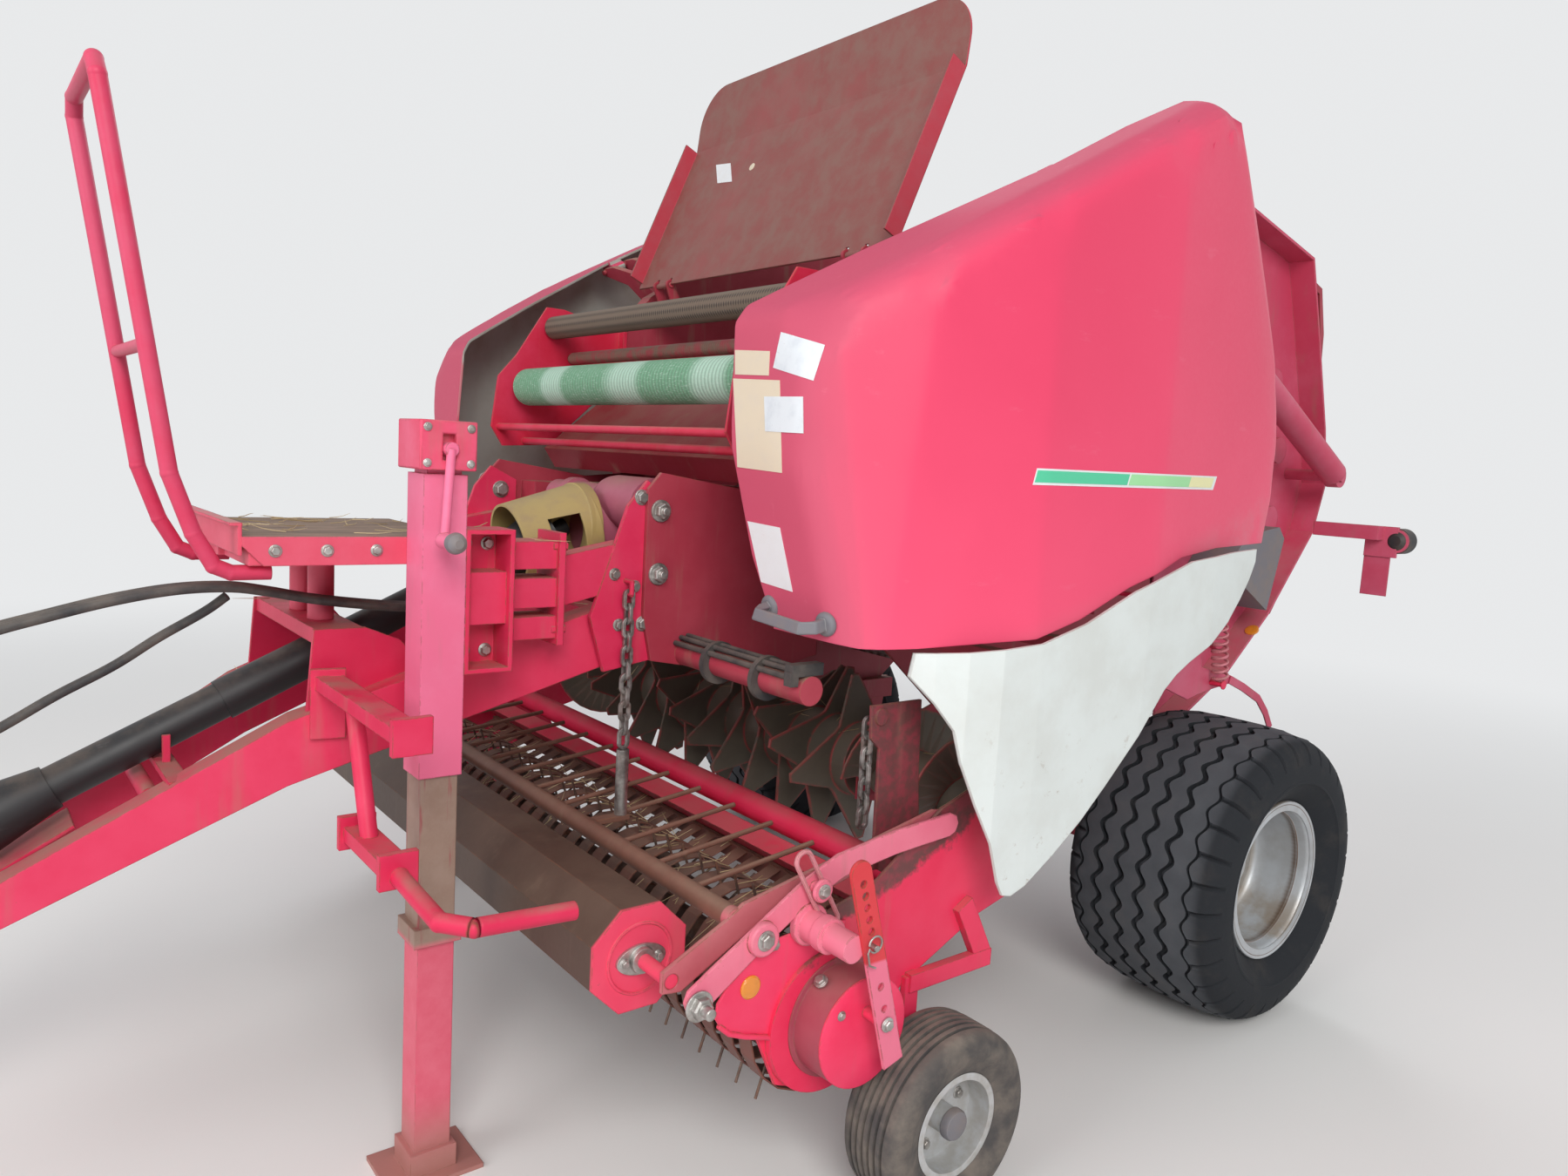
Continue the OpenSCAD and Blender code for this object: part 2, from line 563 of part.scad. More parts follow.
// Net hood, raised about its lower edge
hood_hinge = [1130, 2108];
hood_lean = 23;
hood_main = 530;
hood_lip = 205;
hood_t = 6;
hood_flange = 55;
function hood_p(along, out, lean) = [-along * sin(lean) + out * cos(lean),
    along * cos(lean) + out * sin(lean)];
hood_bend = hood_p(hood_main, 0, hood_lean);
module hood_sheet(lean, l, corner) rotate([0, -lean, 0]) difference() {
  translate([0, -hood_w / 2, 0]) cube([hood_t, hood_w, l]);
  if (corner > 0) both() translate([-5, hood_w / 2 - corner, l - corner]) difference() {
    cube([30, corner + 1, corner + 1]);
    rotate([0, 90, 0]) cylinder(r = corner, h = 30);
  }
}
// Hinge lugs of the hood, as their lower Y on each side
hinge_lugs = [428, 504];
hinge_r = 9;
module hood() color(red) place() translate([hood_hinge[0], 0, hood_hinge[1]]) {
  difference() {
    hood_sheet(hood_lean, hood_main, 0);
    both() for (y = hinge_lugs) translate([-40, y - 3, -30]) cube([80, 14, 52]);
  }
  translate([hood_bend[0], 0, hood_bend[1]]) hood_sheet(7, hood_lip, 135);
  both() rotate([0, -hood_lean, 0]) translate([0, hood_w / 2 - hood_t, 20]) cube([hood_flange, hood_t,
      hood_main - 25]);
  both() rod_y([0, 0], hinge_r, 424, 516);
}

// Tailgate: side plates with edge flanges, the rear skin, and the anchors of the cylinders
tail_plate = [[-130, 2400], [-160, 2470], [-300, 2478], [-790, 2370], [-880, 2140], [-1010, 1790],
    [-1060, 1590],
  [-1000, 1405], [-740, 1110], [-500, 915], [-215, 770], [-205, 960], [-140, 1110], [-62, 2200],
      [-62, 2340]];
cyl_base = [-930, 1618];
cyl_y = anchor_y;
module tailgate_frame() color(faded_red) place() {
  difference() {
    union() {
      both() {
        plate_xz(wall_y, plate, tail_plate);
        plate_xz(wall_y + 1, 95, strip(rev(part(tail_plate, 2, 10)), 10));
        for (i = [tail_first:tail_last]) rod_y(on_circle(chamber_c, roller_orbit, roller_a(i)), 48,
            wall_y + 2, wall_y + 32);
        // Hinge ears
        difference() {
          plate_xz(wall_y + 12, 12, [[-60, 2380], [-60, 2484], [-300, 2470], [-300, 2330]]);
          rod_y(tailgate_pivot, 60, wall_y, wall_y + 40);
        }
        rod_y(tailgate_pivot, 62, wall_y + 12, wall_y + 24);
        translate([-300, wall_y + plate - 1, 2340]) cube([110, 6, 120]);
        // Ears of the lift cylinder
        rod_y(cyl_base, 20, wall_y + 2, cyl_y + 30);
      }
      rod_y([-760, 2318], 25, -wall_y, wall_y);
    }
    rod_y(tailgate_pivot, pin_r + 0.05, -wall_y - 200, wall_y + 200);
    for (s = [-1, 1]) rod_y(tailgate_pivot, 76, s > 0 ? wall_y - 2 : -wall_y - plate - 2,
        s > 0 ? wall_y + plate + 2 : 2 - wall_y);
  }
}
skin_out = [[-320, 2470], [-780, 2395], [-1060, 2310], [-1110, 2150], [-1130, 1800], [-1100, 1400],
    [-1040, 1230], [-935, 1090]];
module tailgate_skin() color(faded_red) place() translate([0, wall_y - seat, 0]) rotate([90, 0, 0])
  linear_extrude(chamber_w - 2 * seat) difference() {
    polygon(concat(skin_out, [[-915, 1106], [-1018, 1242], [-1075, 1412], [-1104, 1802],
        [-1085, 2140], [-1045, 2288], [-775, 2373], [-330, 2448]]));
  }

// Arms with lamps at the rear corners
module light_bars() color(dark_red) place() both() {
  translate([-1050, 711.3, 1400]) cube([50, 230, 50]);
  translate([-1058, 880, 1340]) cube([12, 110, 110]);
  translate([-1058, 880, 1200]) cube([6, 90, 145]);
  bar([-1050, 985, 1400], [-1110, 985, 1400], 42);
}

// Chocks hung in their clips on the tailgate's sides
chock = [[-120, -150], [160, 0], [60, 110], [-150, 140], [-190, 100]];
module wheel_chocks() color([0.35, 0.35, 0.37]) place() both() translate([-480, 0, 1290])
  xz(wall_y + plate + seat, 150) polygon([for (p = chock) p]);

// Lift cylinders of the tailgate
cyl_vec = [anchor[0] - cyl_base[0], anchor[1] - cyl_base[1]];
cyl_len = norm(cyl_vec);
cyl_tilt = atan2(cyl_vec[1], cyl_vec[0]);
barrel_l = 760;
module along_cylinder() translate([cyl_base[0], cyl_y, cyl_base[1]]) rotate([0, 90 - cyl_tilt,
    0]) children();
module barrel() along_cylinder() difference() {
  union() {
    translate([0, 0, 20]) cylinder(r = 45, h = barrel_l - 20);
    rotate([90, 0, 0]) translate([0, 0, -22]) cylinder(r = 40, h = 44);
  }
  rotate([90, 0, 0]) translate([0, 0, -60]) cylinder(r = 20.3, h = 120);
  translate([0, 0, 90]) cylinder(r = 25.3, h = barrel_l);
}
module cyl_rod() along_cylinder() {
  translate([0, 0, 110]) cylinder(r = 25, h = cyl_len - 110 - 30);
  translate([0, 0, cyl_len]) rotate([90, 0, 0]) translate([0, 0, -20]) cylinder(r = 34, h = 40);
}
module cylinder_barrel_left() color(red) place() barrel();
module cylinder_barrel_right() color(red) place() mirror([0, 1, 0]) barrel();
module cylinder_rod_left() color(silver) place() cyl_rod();
module cylinder_rod_right() color(silver) place() mirror([0, 1, 0]) cyl_rod();

// Main wheels
rim_r = 216;
lip_r = 234;
rim_w = 406;
function tyre_half(s) = [[rim_r + seat, s * (rim_w / 2 - 22)], [lip_r + 8, s * (rim_w / 2 - 2)],
    [tyre_r * 0.66, s * (tyre_w / 2 - 8)],
  [tyre_r * 0.76, s * tyre_w / 2], [tyre_r * 0.87, s * (tyre_w / 2 - 12)],
      [tyre_r * 0.955, s * (tyre_w / 2 - 45)], [tyre_r * 0.99, s * tyre_w * 0.26]];
module spin_y(p, y) translate([p[0], y, p[1]]) rotate([-90, 0, 0]) rotate_extrude($fn = 96) children();
module tyre(s) spin_y([0, axle_z], s * track_w / 2)
  polygon(concat(tyre_half(-1), [[tyre_r, 0]], rev(tyre_half(1))));
module rim(s) side(s) difference() {
  union() {
    spin_y([0, axle_z], track_w / 2) polygon([[rim_r - 10, -rim_w / 2], [lip_r, -rim_w / 2],
        [lip_r, -rim_w / 2 + 8], [rim_r, -rim_w / 2 + 14],
      [rim_r, rim_w / 2 - 14], [lip_r, rim_w / 2 - 8], [lip_r, rim_w / 2], [rim_r - 10, rim_w / 2]]);
    spin_y([0, axle_z], track_w / 2) polygon([[0, 20], [100, 20], [140, 40], [rim_r - 5, 30],
        [rim_r - 5, 20], [140, 28], [100, 8], [0, 8]]);
    spin_y([0, axle_z], track_w / 2) polygon([[0, -120], [62, -120], [62, 60], [50, 75], [0, 75]]);
  }
  rod_y([0, axle_z], stub_r + 0.05, track_w / 2 - 200, track_w / 2 + 41);
}
module tyre_left() color(black) place() tyre(1);
module tyre_right() color(black) place() tyre(-1);
module rim_left() color(silver) place() rim(1);
module rim_right() color(silver) place() rim(-1);

// Gauge wheels beside the pickup
gauge_c = [1400, gauge_r];
gauge_y = 1205;
gauge_rim_r = 105;
gauge_stub_r = 14.95;
module gauge_tyre(s) spin_y(gauge_c, s * gauge_y) polygon([[gauge_rim_r + seat, -55.5],
    [gauge_rim_r + 20, -66], [gauge_r * 0.78, -gauge_w / 2], [gauge_r * 0.93, -gauge_w / 2 + 8],
  [gauge_r, -gauge_w / 2 + 30], [gauge_r, gauge_w / 2 - 30], [gauge_r * 0.93, gauge_w / 2 - 8],
      [gauge_r * 0.78, gauge_w / 2], [gauge_rim_r + 20, 66], [gauge_rim_r + seat, 55.5]]);
module gauge_rim(s) side(s) difference() {
  union() {
    spin_y(gauge_c, gauge_y) polygon([[gauge_rim_r - 6, -64], [gauge_rim_r + 10, -64],
        [gauge_rim_r, -56], [gauge_rim_r, 56], [gauge_rim_r + 10, 64], [gauge_rim_r - 6, 64]]);
    spin_y(gauge_c, gauge_y) polygon([[0, 6], [gauge_rim_r - 3, 6], [gauge_rim_r - 3, -2], [0, -2]]);
    spin_y(gauge_c, gauge_y) polygon([[0, -60], [30, -60], [30, 50], [0, 50]]);
  }
  rod_y(gauge_c, gauge_stub_r + 0.05, gauge_y - 100, gauge_y + 40);
}
module gauge_tyre_left() color(black) place() gauge_tyre(1);
module gauge_tyre_right() color(black) place() gauge_tyre(-1);
module gauge_rim_left() color(silver) place() gauge_rim(1);
module gauge_rim_right() color(silver) place() gauge_rim(-1);

// Pickup: frame, stripper bands, reel, wind guard, press roller and feed rotor
reel_c = [1640, 440];
pick_y = pickup_w / 2;
pick_plate = [[960, 700], [1000, 880], [1180, 880], [1330, 830], [1520, 700], [1700, 650],
    [1800, 560], [1810, 440], [1760, 330],
  [1660, 290], [1540, 320], [1420, 450], [1180, 560], [1020, 600]];
reel_shaft_r = 19.95;
side_post = [[1325, 695], [1465, 695], [1470, 965], [1496, 990], [1500, 1062], [1352, 1062], [1345, 900]];
post_peg = [1486, 1020];
module pickup_frame() color(red) place() difference() {
  union() {
    both() {
      plate_xz(pick_y, 8, pick_plate);
      // Round guard of the reel drive
      rod_y(reel_c, 150, pick_y + 8, pick_y + 24);
      // Arm and stub of the gauge wheel
      beam([1250, pick_y + 16, 600], [gauge_c[0] - 230, pick_y + 16, gauge_c[1] + 250], 20, 50);
      beam([gauge_c[0] - 250, pick_y + 17, gauge_c[1] + 250],
          [gauge_c[0] + 10, pick_y + 17, gauge_c[1] + 250], 20, 40);
      translate([gauge_c[0] - 20, pick_y + 6, gauge_c[1] - 24]) cube([40, 15, 288]);
      rod_y(gauge_c, gauge_stub_r, pick_y + 10, gauge_y + 30);
      // Upright plate behind the side and the peg of its chain
      plate_xz(pick_y - 65, 8, side_post);
      translate([1370, pick_y - 65, 692]) cube([80, 70, 36]);
      rod_y(post_peg, 6, pick_y - 92, pick_y - 60);
      rod_y([post_peg[0] - 14, post_peg[1] + 16], 18, pick_y - 71, pick_y - 52);
      // Pivot disc round the rotor's end bearing
      rod_y(rotor_c, 90, pick_y - 10, pick_y + 4);
    }
    // Cross tubes
    rod_y([1330, 640], 35, -pick_y - 1, pick_y + 1);
    // Floor behind the reel
    xz(-pick_y, pickup_w) polygon([[1420, 640], [1480, 622], [1400, 560], [1330, 560], [1330, 572],
        [1396, 572]]);
  }
  rod_y(rotor_c, 45, -pick_y - 30, pick_y + 30);
  rod_y(reel_c, reel_shaft_r + 0.05, -pick_y - 6, pick_y + 6);
}

stripper_n = floor((pickup_w - 60) / stripper_pitch / 2) * 2;
stripper_w = 44;
module stripper_band() linear_extrude(stripper_w) polygon(concat(
  [[1400, 560]], arc(reel_c, stripper_r, 150, 108, 3), arc(reel_c, stripper_r, 100, -110, 12),
  [[1560, 300], [1562, 303]], rev(arc(reel_c, stripper_r - 4, 100, -110, 12)), rev(arc(reel_c,
      stripper_r - 4, 150, 108, 3)), [[1400, 556]]));
module strippers() color(rust_brown) place() {
  for (i = [-stripper_n / 2:stripper_n / 2]) translate([0, i * stripper_pitch + stripper_w / 2,
      0]) rotate([90, 0, 0]) stripper_band();
  beam([1392, -pick_y + seat, 538], [1392, pick_y - seat, 538], 40, 40);
}

bar_n = 5;
tine_bar_r = 105;
tine_r = 214;
module pickup_reel() color(steel_grey) place() {
  rod_y(reel_c, 40, -pick_y + 12, pick_y - 12);
  rod_y(reel_c, reel_shaft_r, -pick_y - 5, pick_y + 5);
  for (k = [0:bar_n - 1]) {
    c = on_circle(reel_c, tine_bar_r, 20 + k * 360 / bar_n);
    rod_y(c, 16, -pick_y + 14, pick_y - 14);
    // Tines in the gaps between the bands
    tip = on_circle(reel_c, tine_r, 10 + k * 360 / bar_n);
    for (i = [-stripper_n / 2:stripper_n / 2 - 1])
      bar([c[0], (i + 0.5) * stripper_pitch, c[1]], [tip[0], (i + 0.5) * stripper_pitch, tip[1]], 3.2);
  }
  for (y = [-pick_y + 14, -380, 372, pick_y - 22]) rod_y(reel_c, 125, y, y + 8);
}

guard_pivot = [1317, 797];
guard_pipe = [1857, 686];
press_c = [2000, 600];
module wind_guard() color(faded_red) place() difference() {
  union() {
    both() {
      plate_xz(pick_y - 26, 10, [[1300, 780], [1300, 815], [1330, 820], [1840, 715], [1880, 690],
          [2020, 620], [2020, 580], [1980, 575], [1840, 650]]);
      rod_y(guard_pivot, 14, pick_y - 26, pick_y - seat);
    }
    rod_y(guard_pipe, 22, -pick_y + 20, pick_y - 20);
    // Lug of the chain's sleeve
    translate([1752, 458, 692]) cube([100, 30, 12]);
    for (y = [-900:150:900]) bar([guard_pipe[0], y, guard_pipe[1]],
        [guard_pipe[0] - 330, y, guard_pipe[1] + 40], 6);
  }
  rod_y(press_c, 15.05, -pick_y, pick_y);
}

module press_roller() color(faded_red) place() {
  rod_y(press_c, 15, -pick_y + 18, pick_y - 18);
  translate([press_c[0], 960, press_c[1]]) rotate([90, 22.5, 0]) cylinder(r = 112, h = 1920, $fn = 8);
}

rotor_tip_r = 235;
star_n = 12;
module feed_rotor() color(faded_red) place() {
  rod_y(rotor_c, 100, -wall_y + 20, wall_y - 20);
  rod_y(rotor_c, 37.5, -pick_y + 12, pick_y - 12);
  both() rod_y(rotor_c, 44.95, pick_y - 20, pick_y + 6);
  for (i = [0:star_n - 1]) translate([rotor_c[0], -540 + i * 1080 / (star_n - 1),
      rotor_c[1]]) rotate([90, i * 17, 0])
    linear_extrude(8) union() {
      circle(r = 120);
      for (k = [0:3]) rotate(k * 90) polygon([[80, -70], [rotor_tip_r, -10], [rotor_tip_r, 14], [80, 90]]);
    }
  both() rod_y(rotor_c, core_r, wall_y + 40, 1030);
}

// Auger flights: a ribbon wound round the rotor's outer cores
core_r = 72;
flight_n = 40;
flight_turns = 1.4;
flight_y = [wall_y + 55, 1005];
// Inner edge: its straight steps clear the round core by the seat
flight_in = (core_r + seat) / cos(180 * flight_turns / flight_n);
module flight() {
  ribbon = [[flight_in, 0], [180, 0], [180, 6], [flight_in, 6]];
  points = [for (i = [0:flight_n])
    let (a = i * 360 * flight_turns / flight_n,
        y = flight_y[0] + (flight_y[1] - flight_y[0]) * i / flight_n)
    for (q = ribbon) [rotor_c[0] + q[0] * cos(a), y + q[1], rotor_c[1] + q[0] * sin(a)]];
  last = flight_n * 4;
  faces = concat([[0, 1, 2], [0, 2, 3], [last + 2, last + 1, last], [last + 3, last + 2, last]],
    [for (i = [0:flight_n - 1]) for (k = [0:3]) let (m = i * 4, q = (k + 1) % 4) for (t = [0, 1])
      t == 0 ? [m + k, m + 4 + k, m + 4 + q] : [m + k, m + 4 + q, m + q]]);
  polyhedron(points = points, faces = faces);
}
module auger_flights() color(faded_red) place() both() flight();

// Grease lines held on the cross tube by two clips and their block
line_at = [38, 66, 94, 122];
module grease_lines() color(black) place() {
  for (a = line_at) rod_y(on_circle(cross_c, 41, a), 6.5, head_y + 13, 921);
  for (y = [600, 790]) difference() {
    rod_y(cross_c, 50.5, y, y + 14);
    rod_y(cross_c, 32.3, y - 2, y + 16);
  }
  translate([cross_c[0] - 34, 920, cross_c[1] + 32.3]) cube([84, 26, 26]);
  translate([cross_c[0] + 32.3, 921, cross_c[1] + 12]) cube([20.7, 24, 30]);
}

// Lift chains of the pickup
// Chains: a link, a hanging row of links, and where the two kinds hang
link_w = 15;
link_l = 52;
link_wire = 8;
link_pitch = link_l - link_w * 2 + 2 * sqrt(pow(link_w - link_wire, 2) - pow(link_wire / 2, 2)) - 0.3;
module link() translate([0, link_wire / 2, 0]) rotate([90, 0, 0]) linear_extrude(link_wire) difference() {
  union() {
    square([2 * link_w, link_l - 2 * link_w], center = true);
    for (z = [-1, 1]) translate([0, z * (link_l / 2 - link_w)]) circle(r = link_w);
  }
  square([2 * (link_w - link_wire), link_l - 2 * link_w], center = true);
  for (z = [-1, 1]) translate([0, z * (link_l / 2 - link_w)]) circle(r = link_w - link_wire);
}
module chain(n) for (i = [0:n - 1]) translate([0, 0, -i * link_pitch]) rotate([0, 0, 90 * (i % 2)]) link();
// Staple on the drawbar: X, Z and the chain's Y
staple = [1770, 1234];
staple_y = 473;
module lift_chain() color(steel_grey) place() {
  translate([staple[0], staple_y, staple[1] + 5.3 - (link_l / 2 - link_wire)]) chain(11);
  // Rubber sleeve down to the wind guard's pipe
  translate([staple[0], staple_y, 704.3]) cylinder(r = 15,
      h = staple[1] + 5.3 + link_wire - 10 * link_pitch - link_l - 704.6);
}
module side_chains() color(steel_grey) place()
  both() translate([post_peg[0], pick_y - 80, post_peg[1] + 6.3 - (link_l / 2 - link_wire)]) chain(7);

// Hoses along the drawbar
function hose_rings(pts, r, n) = [for (i = [0:len(pts) - 1])
  let (t = pts[min(i + 1, len(pts) - 1)] - pts[max(i - 1, 0)], u = t / norm(t),
    s = cross(u, [0, 1, 0]), sn = s / norm(s), w = cross(sn, u))
  [for (k = [0:n - 1]) pts[i] + r * (cos(k * 360 / n) * sn + sin(k * 360 / n) * w)]];
module hose(pts, r, n = 8) {
  rings = hose_rings(pts, r, n);
  m = len(pts);
  polyhedron(points = [for (q = rings) for (p = q) p],
    faces = concat([[for (k = [0:n - 1]) k]], [[for (k = [n - 1:-1:0]) (m - 1) * n + k]],
      [for (i = [0:m - 2]) for (k = [0:n - 1]) [i * n + k, (i + 1) * n + k, (i + 1) * n + (k + 1) % n,
          i * n + (k + 1) % n]]));
}
// Three lines side by side, tied under the handrail, and one that runs beside the shaft
hose_route = [[1832, 236, 1196], [1900, 230, 1186], [2040, 218, 1180], [2180, 210, 1182],
    [2290, 206, 1192], [2400, 205, 1208], [2480, 205, 1225],
  [2560, 205, 1238], [2660, 204, 1236], [2770, 203, 1218], [2880, 200, 1190], [2980, 196, 1160],
      [3080, 188, 1110], [3170, 174, 1040],
  [3240, 160, 950], [3285, 145, 850], [3305, 110, 725], [3305, 110, 640.3]];
hose_fan = [0, -50, -100];
hose_gap = 21;
hose_route_low = [[2560, 158, 1215], [2600, 140, 1180], [2680, 110, 1125], [2760, 100, 1069],
    [2860, 98, 1015], [2950, 96, 960], [3060, 80, 895],
  [3170, 40, 840], [3250, -5, 790], [3305, -40, 712], [3305, -40, 640.3]];
function smooth(a, b, x) = let (t = max(0, min(1, (x - a) / (b - a)))) t * t * (3 - 2 * t);
module drawbar_hoses() color(black) place() {
  for (k = [0:2]) hose([for (p = hose_route) p + [0,
      -hose_gap * k + (hose_fan[k] + hose_gap * k) * smooth(2900, 3290, p[0]), 0]], 10);
  hose(hose_route_low, 10);
}

chassis();
front_rollers();
front_panel();
gearbox();
pto_cone();
pto_shaft();
drawbar();
net_box();
net_roll();
net_rollers();
platform();
handrail();
steps();
jack_case();
jack_leg();
fender_left();
fender_right();
shield_left();
shield_right();
hood();
tailgate_frame();
tailgate_skin();
tailgate_rollers();
light_bars();
wheel_chocks();
cylinder_barrel_left();
cylinder_barrel_right();
cylinder_rod_left();
cylinder_rod_right();
tyre_left();
tyre_right();
rim_left();
rim_right();
gauge_tyre_left();
gauge_tyre_right();
gauge_rim_left();
gauge_rim_right();
pickup_frame();
strippers();
pickup_reel();
wind_guard();
press_roller();
feed_rotor();
auger_flights();
grease_lines();
lift_chain();
side_chains();
drawbar_hoses();
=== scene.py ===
import math
import random

import bmesh
import bpy
from mathutils import Matrix, Vector
from mathutils.bvhtree import BVHTree


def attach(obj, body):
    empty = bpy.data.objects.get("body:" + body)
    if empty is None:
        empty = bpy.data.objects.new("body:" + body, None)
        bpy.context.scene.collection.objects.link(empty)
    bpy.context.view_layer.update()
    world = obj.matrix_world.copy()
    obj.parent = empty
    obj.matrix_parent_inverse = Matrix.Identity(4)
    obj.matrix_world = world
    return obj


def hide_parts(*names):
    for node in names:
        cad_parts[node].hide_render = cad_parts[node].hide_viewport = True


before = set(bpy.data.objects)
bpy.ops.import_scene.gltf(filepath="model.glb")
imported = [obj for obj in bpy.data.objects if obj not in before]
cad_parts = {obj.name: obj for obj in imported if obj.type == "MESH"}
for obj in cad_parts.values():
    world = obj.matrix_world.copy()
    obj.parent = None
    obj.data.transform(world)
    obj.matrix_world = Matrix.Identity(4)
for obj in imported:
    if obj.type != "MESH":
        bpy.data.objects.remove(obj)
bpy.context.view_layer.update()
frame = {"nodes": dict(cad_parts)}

NODES, SCENE = frame["nodes"], bpy.context.scene
# The source measures from the ground under the axle; the row's origin lies this far ahead of it
AHEAD = 1.175
# Height of the main wheels' axle
AXLE_Z = 0.433


def at(x, y, z):
    """A point of the source's own frame, in metres, as a point of the row frame."""
    return Vector((x - AHEAD, y, z))


# finishes
class Wire:
    """An output socket of a finish; Python's operators on it add the nodes."""

    def __init__(self, finish, socket):
        self.finish, self.socket = finish, socket

    def _join(self, other, math_op, mix_op=None, swap=False):
        a, b = (other, self) if swap else (self, other)
        kinds = {w.socket.type for w in (a, b) if isinstance(w, Wire)}
        if "RGBA" in kinds:
            return self.finish.node("Mix", dict(data_type="RGBA", blend_type=mix_op),
                                    {0: 1.0, 6: rgba(a), 7: rgba(b)}, 2)
        if "VECTOR" in kinds:
            return self.finish.node("VectorMath", dict(operation=math_op), {0: triple(a), 1: triple(b)})
        return self.finish.node("Math", dict(operation=math_op), {0: a, 1: b})

    def __add__(self, other): return self._join(other, "ADD", "ADD")
    def __radd__(self, other): return self._join(other, "ADD", "ADD", True)
    def __sub__(self, other): return self._join(other, "SUBTRACT", "SUBTRACT")
    def __rsub__(self, other): return self._join(other, "SUBTRACT", "SUBTRACT", True)
    def __mul__(self, other): return self._join(other, "MULTIPLY", "MULTIPLY")
    def __rmul__(self, other): return self._join(other, "MULTIPLY", "MULTIPLY", True)
    def __pow__(self, other): return self._join(other, "POWER")
    def most(self, other): return self._join(other, "MAXIMUM")
    def least(self, other): return self._join(other, "MINIMUM")
    def wave(self): return self.finish.node("Math", dict(operation="SINE"), {0: self})
    def size(self): return self.finish.node("Math", dict(operation="ABSOLUTE"), {0: self})
    def part(self): return self.finish.node("Math", dict(operation="FRACT"), {0: self})

    def step(self, low, high):
        """0 below low, 1 above high, smooth between."""
        return self.finish.node("MapRange", dict(interpolation_type="SMOOTHSTEP", clamp=True),
                                {"Value": self, "From Min": low, "From Max": high})

    def between(self, low, high, soft):
        """1 from low to high, with edges this soft."""
        return self.step(low - soft, low + soft) * (1 - self.step(high - soft, high + soft))


def rgba(value):
    if isinstance(value, Wire) or isinstance(value, tuple) and len(value) == 4:
        return value
    return (*value, 1.0) if isinstance(value, (tuple, list)) else (value, value, value, 1.0)


def triple(value):
    return value if isinstance(value, (Wire, tuple, list)) else (value, value, value)


class Finish:
    """A material whose nodes are made by expressions. The world is made the same way."""

    def __init__(self, name, store=bpy.data.materials):
        self.material = store.new(name)
        self.material.use_nodes = True
        self.tree = self.material.node_tree
        self.tree.nodes.clear()

    def node(self, kind, settings=None, sockets=None, out=0):
        n = self.tree.nodes.new("ShaderNode" + kind)
        for key, value in (settings or {}).items():
            setattr(n, key, value)
        for key, value in (sockets or {}).items():
            if isinstance(value, Wire):
                self.tree.links.new(value.socket, n.inputs[key])
            else:
                n.inputs[key].default_value = value
        self.made = n
        return Wire(self, n.outputs[out])

    def place(self): return self.node("TexCoord", out=3)

    def axes(self, letters="XYZ", vector=None):
        """The named coordinates of a point on the piece, or of another vector."""
        self.node("SeparateXYZ", sockets={0: vector or self.place()})
        wires = [Wire(self, self.made.outputs[letter]) for letter in letters]
        return wires if len(wires) > 1 else wires[0]

    def facing(self, letters):
        """The named parts of the surface's normal."""
        return self.axes(letters, self.node("TexCoord", out=1))

    def noise(self, scale, detail=3.0, rough=0.55, where=None, stretch=None):
        where = where or self.place()
        if stretch:
            where = where * stretch
        return self.node("TexNoise", None,
                         {"Vector": where, "Scale": scale, "Detail": detail, "Roughness": rough})

    def cells(self, scale):
        return self.node("TexVoronoi", None, {"Vector": self.place(), "Scale": scale})

    def mix(self, a, b, share):
        return self.node("Mix", dict(data_type="RGBA"), {0: share, 6: rgba(a), 7: rgba(b)}, 2)

    def edge(self, radius=0.004):
        """How sharply a corner turns here, and the rounded normal."""
        soft = self.node("Bevel", dict(samples=6), {"Radius": radius})
        hard = self.node("NewGeometry", out=1)
        return 1 - self.node("VectorMath", dict(operation="DOT_PRODUCT"), {0: soft, 1: hard}, 1), soft

    def coat(self, colour, rough, bump=None, strength=0.3, depth=0.001, normal=None, **fixed):
        """The surface shader. Values that are the same all over go straight onto its sockets."""
        sockets = {"Base Color": rgba(colour), "Roughness": rough}
        if bump is not None:
            more = {"Height": bump, "Strength": strength, "Distance": depth}
            if normal is not None:
                more["Normal"] = normal
            normal = self.node("Bump", None, more)
        if normal is not None:
            sockets["Normal"] = normal
        sockets.update({k.replace("_", " ").title().replace("Ior", "IOR"): v for k, v in fixed.items()})
        return self.node("BsdfPrincipled", None, sockets)

    def shown_by(self, shader, output="OutputMaterial"):
        self.tree.links.new(shader.socket, self.tree.nodes.new("ShaderNode" + output).inputs[0])
        return self.material

    def done(self, *look, **fixed):
        return self.shown_by(self.coat(*look, **fixed))

    def background_ray(self):
        """1 where the background shows: to the camera, in metal and through glass."""
        camera, glossy, through = (self.node("LightPath", out=f"Is {kind} Ray")
                                   for kind in ("Camera", "Glossy", "Transmission"))
        return camera.most(glossy).most(through)


DUST, RUST = (0.30, 0.21, 0.15), (0.23, 0.09, 0.045)
RED, PINK = (0.60, 0.012, 0.045), (0.74, 0.060, 0.140)


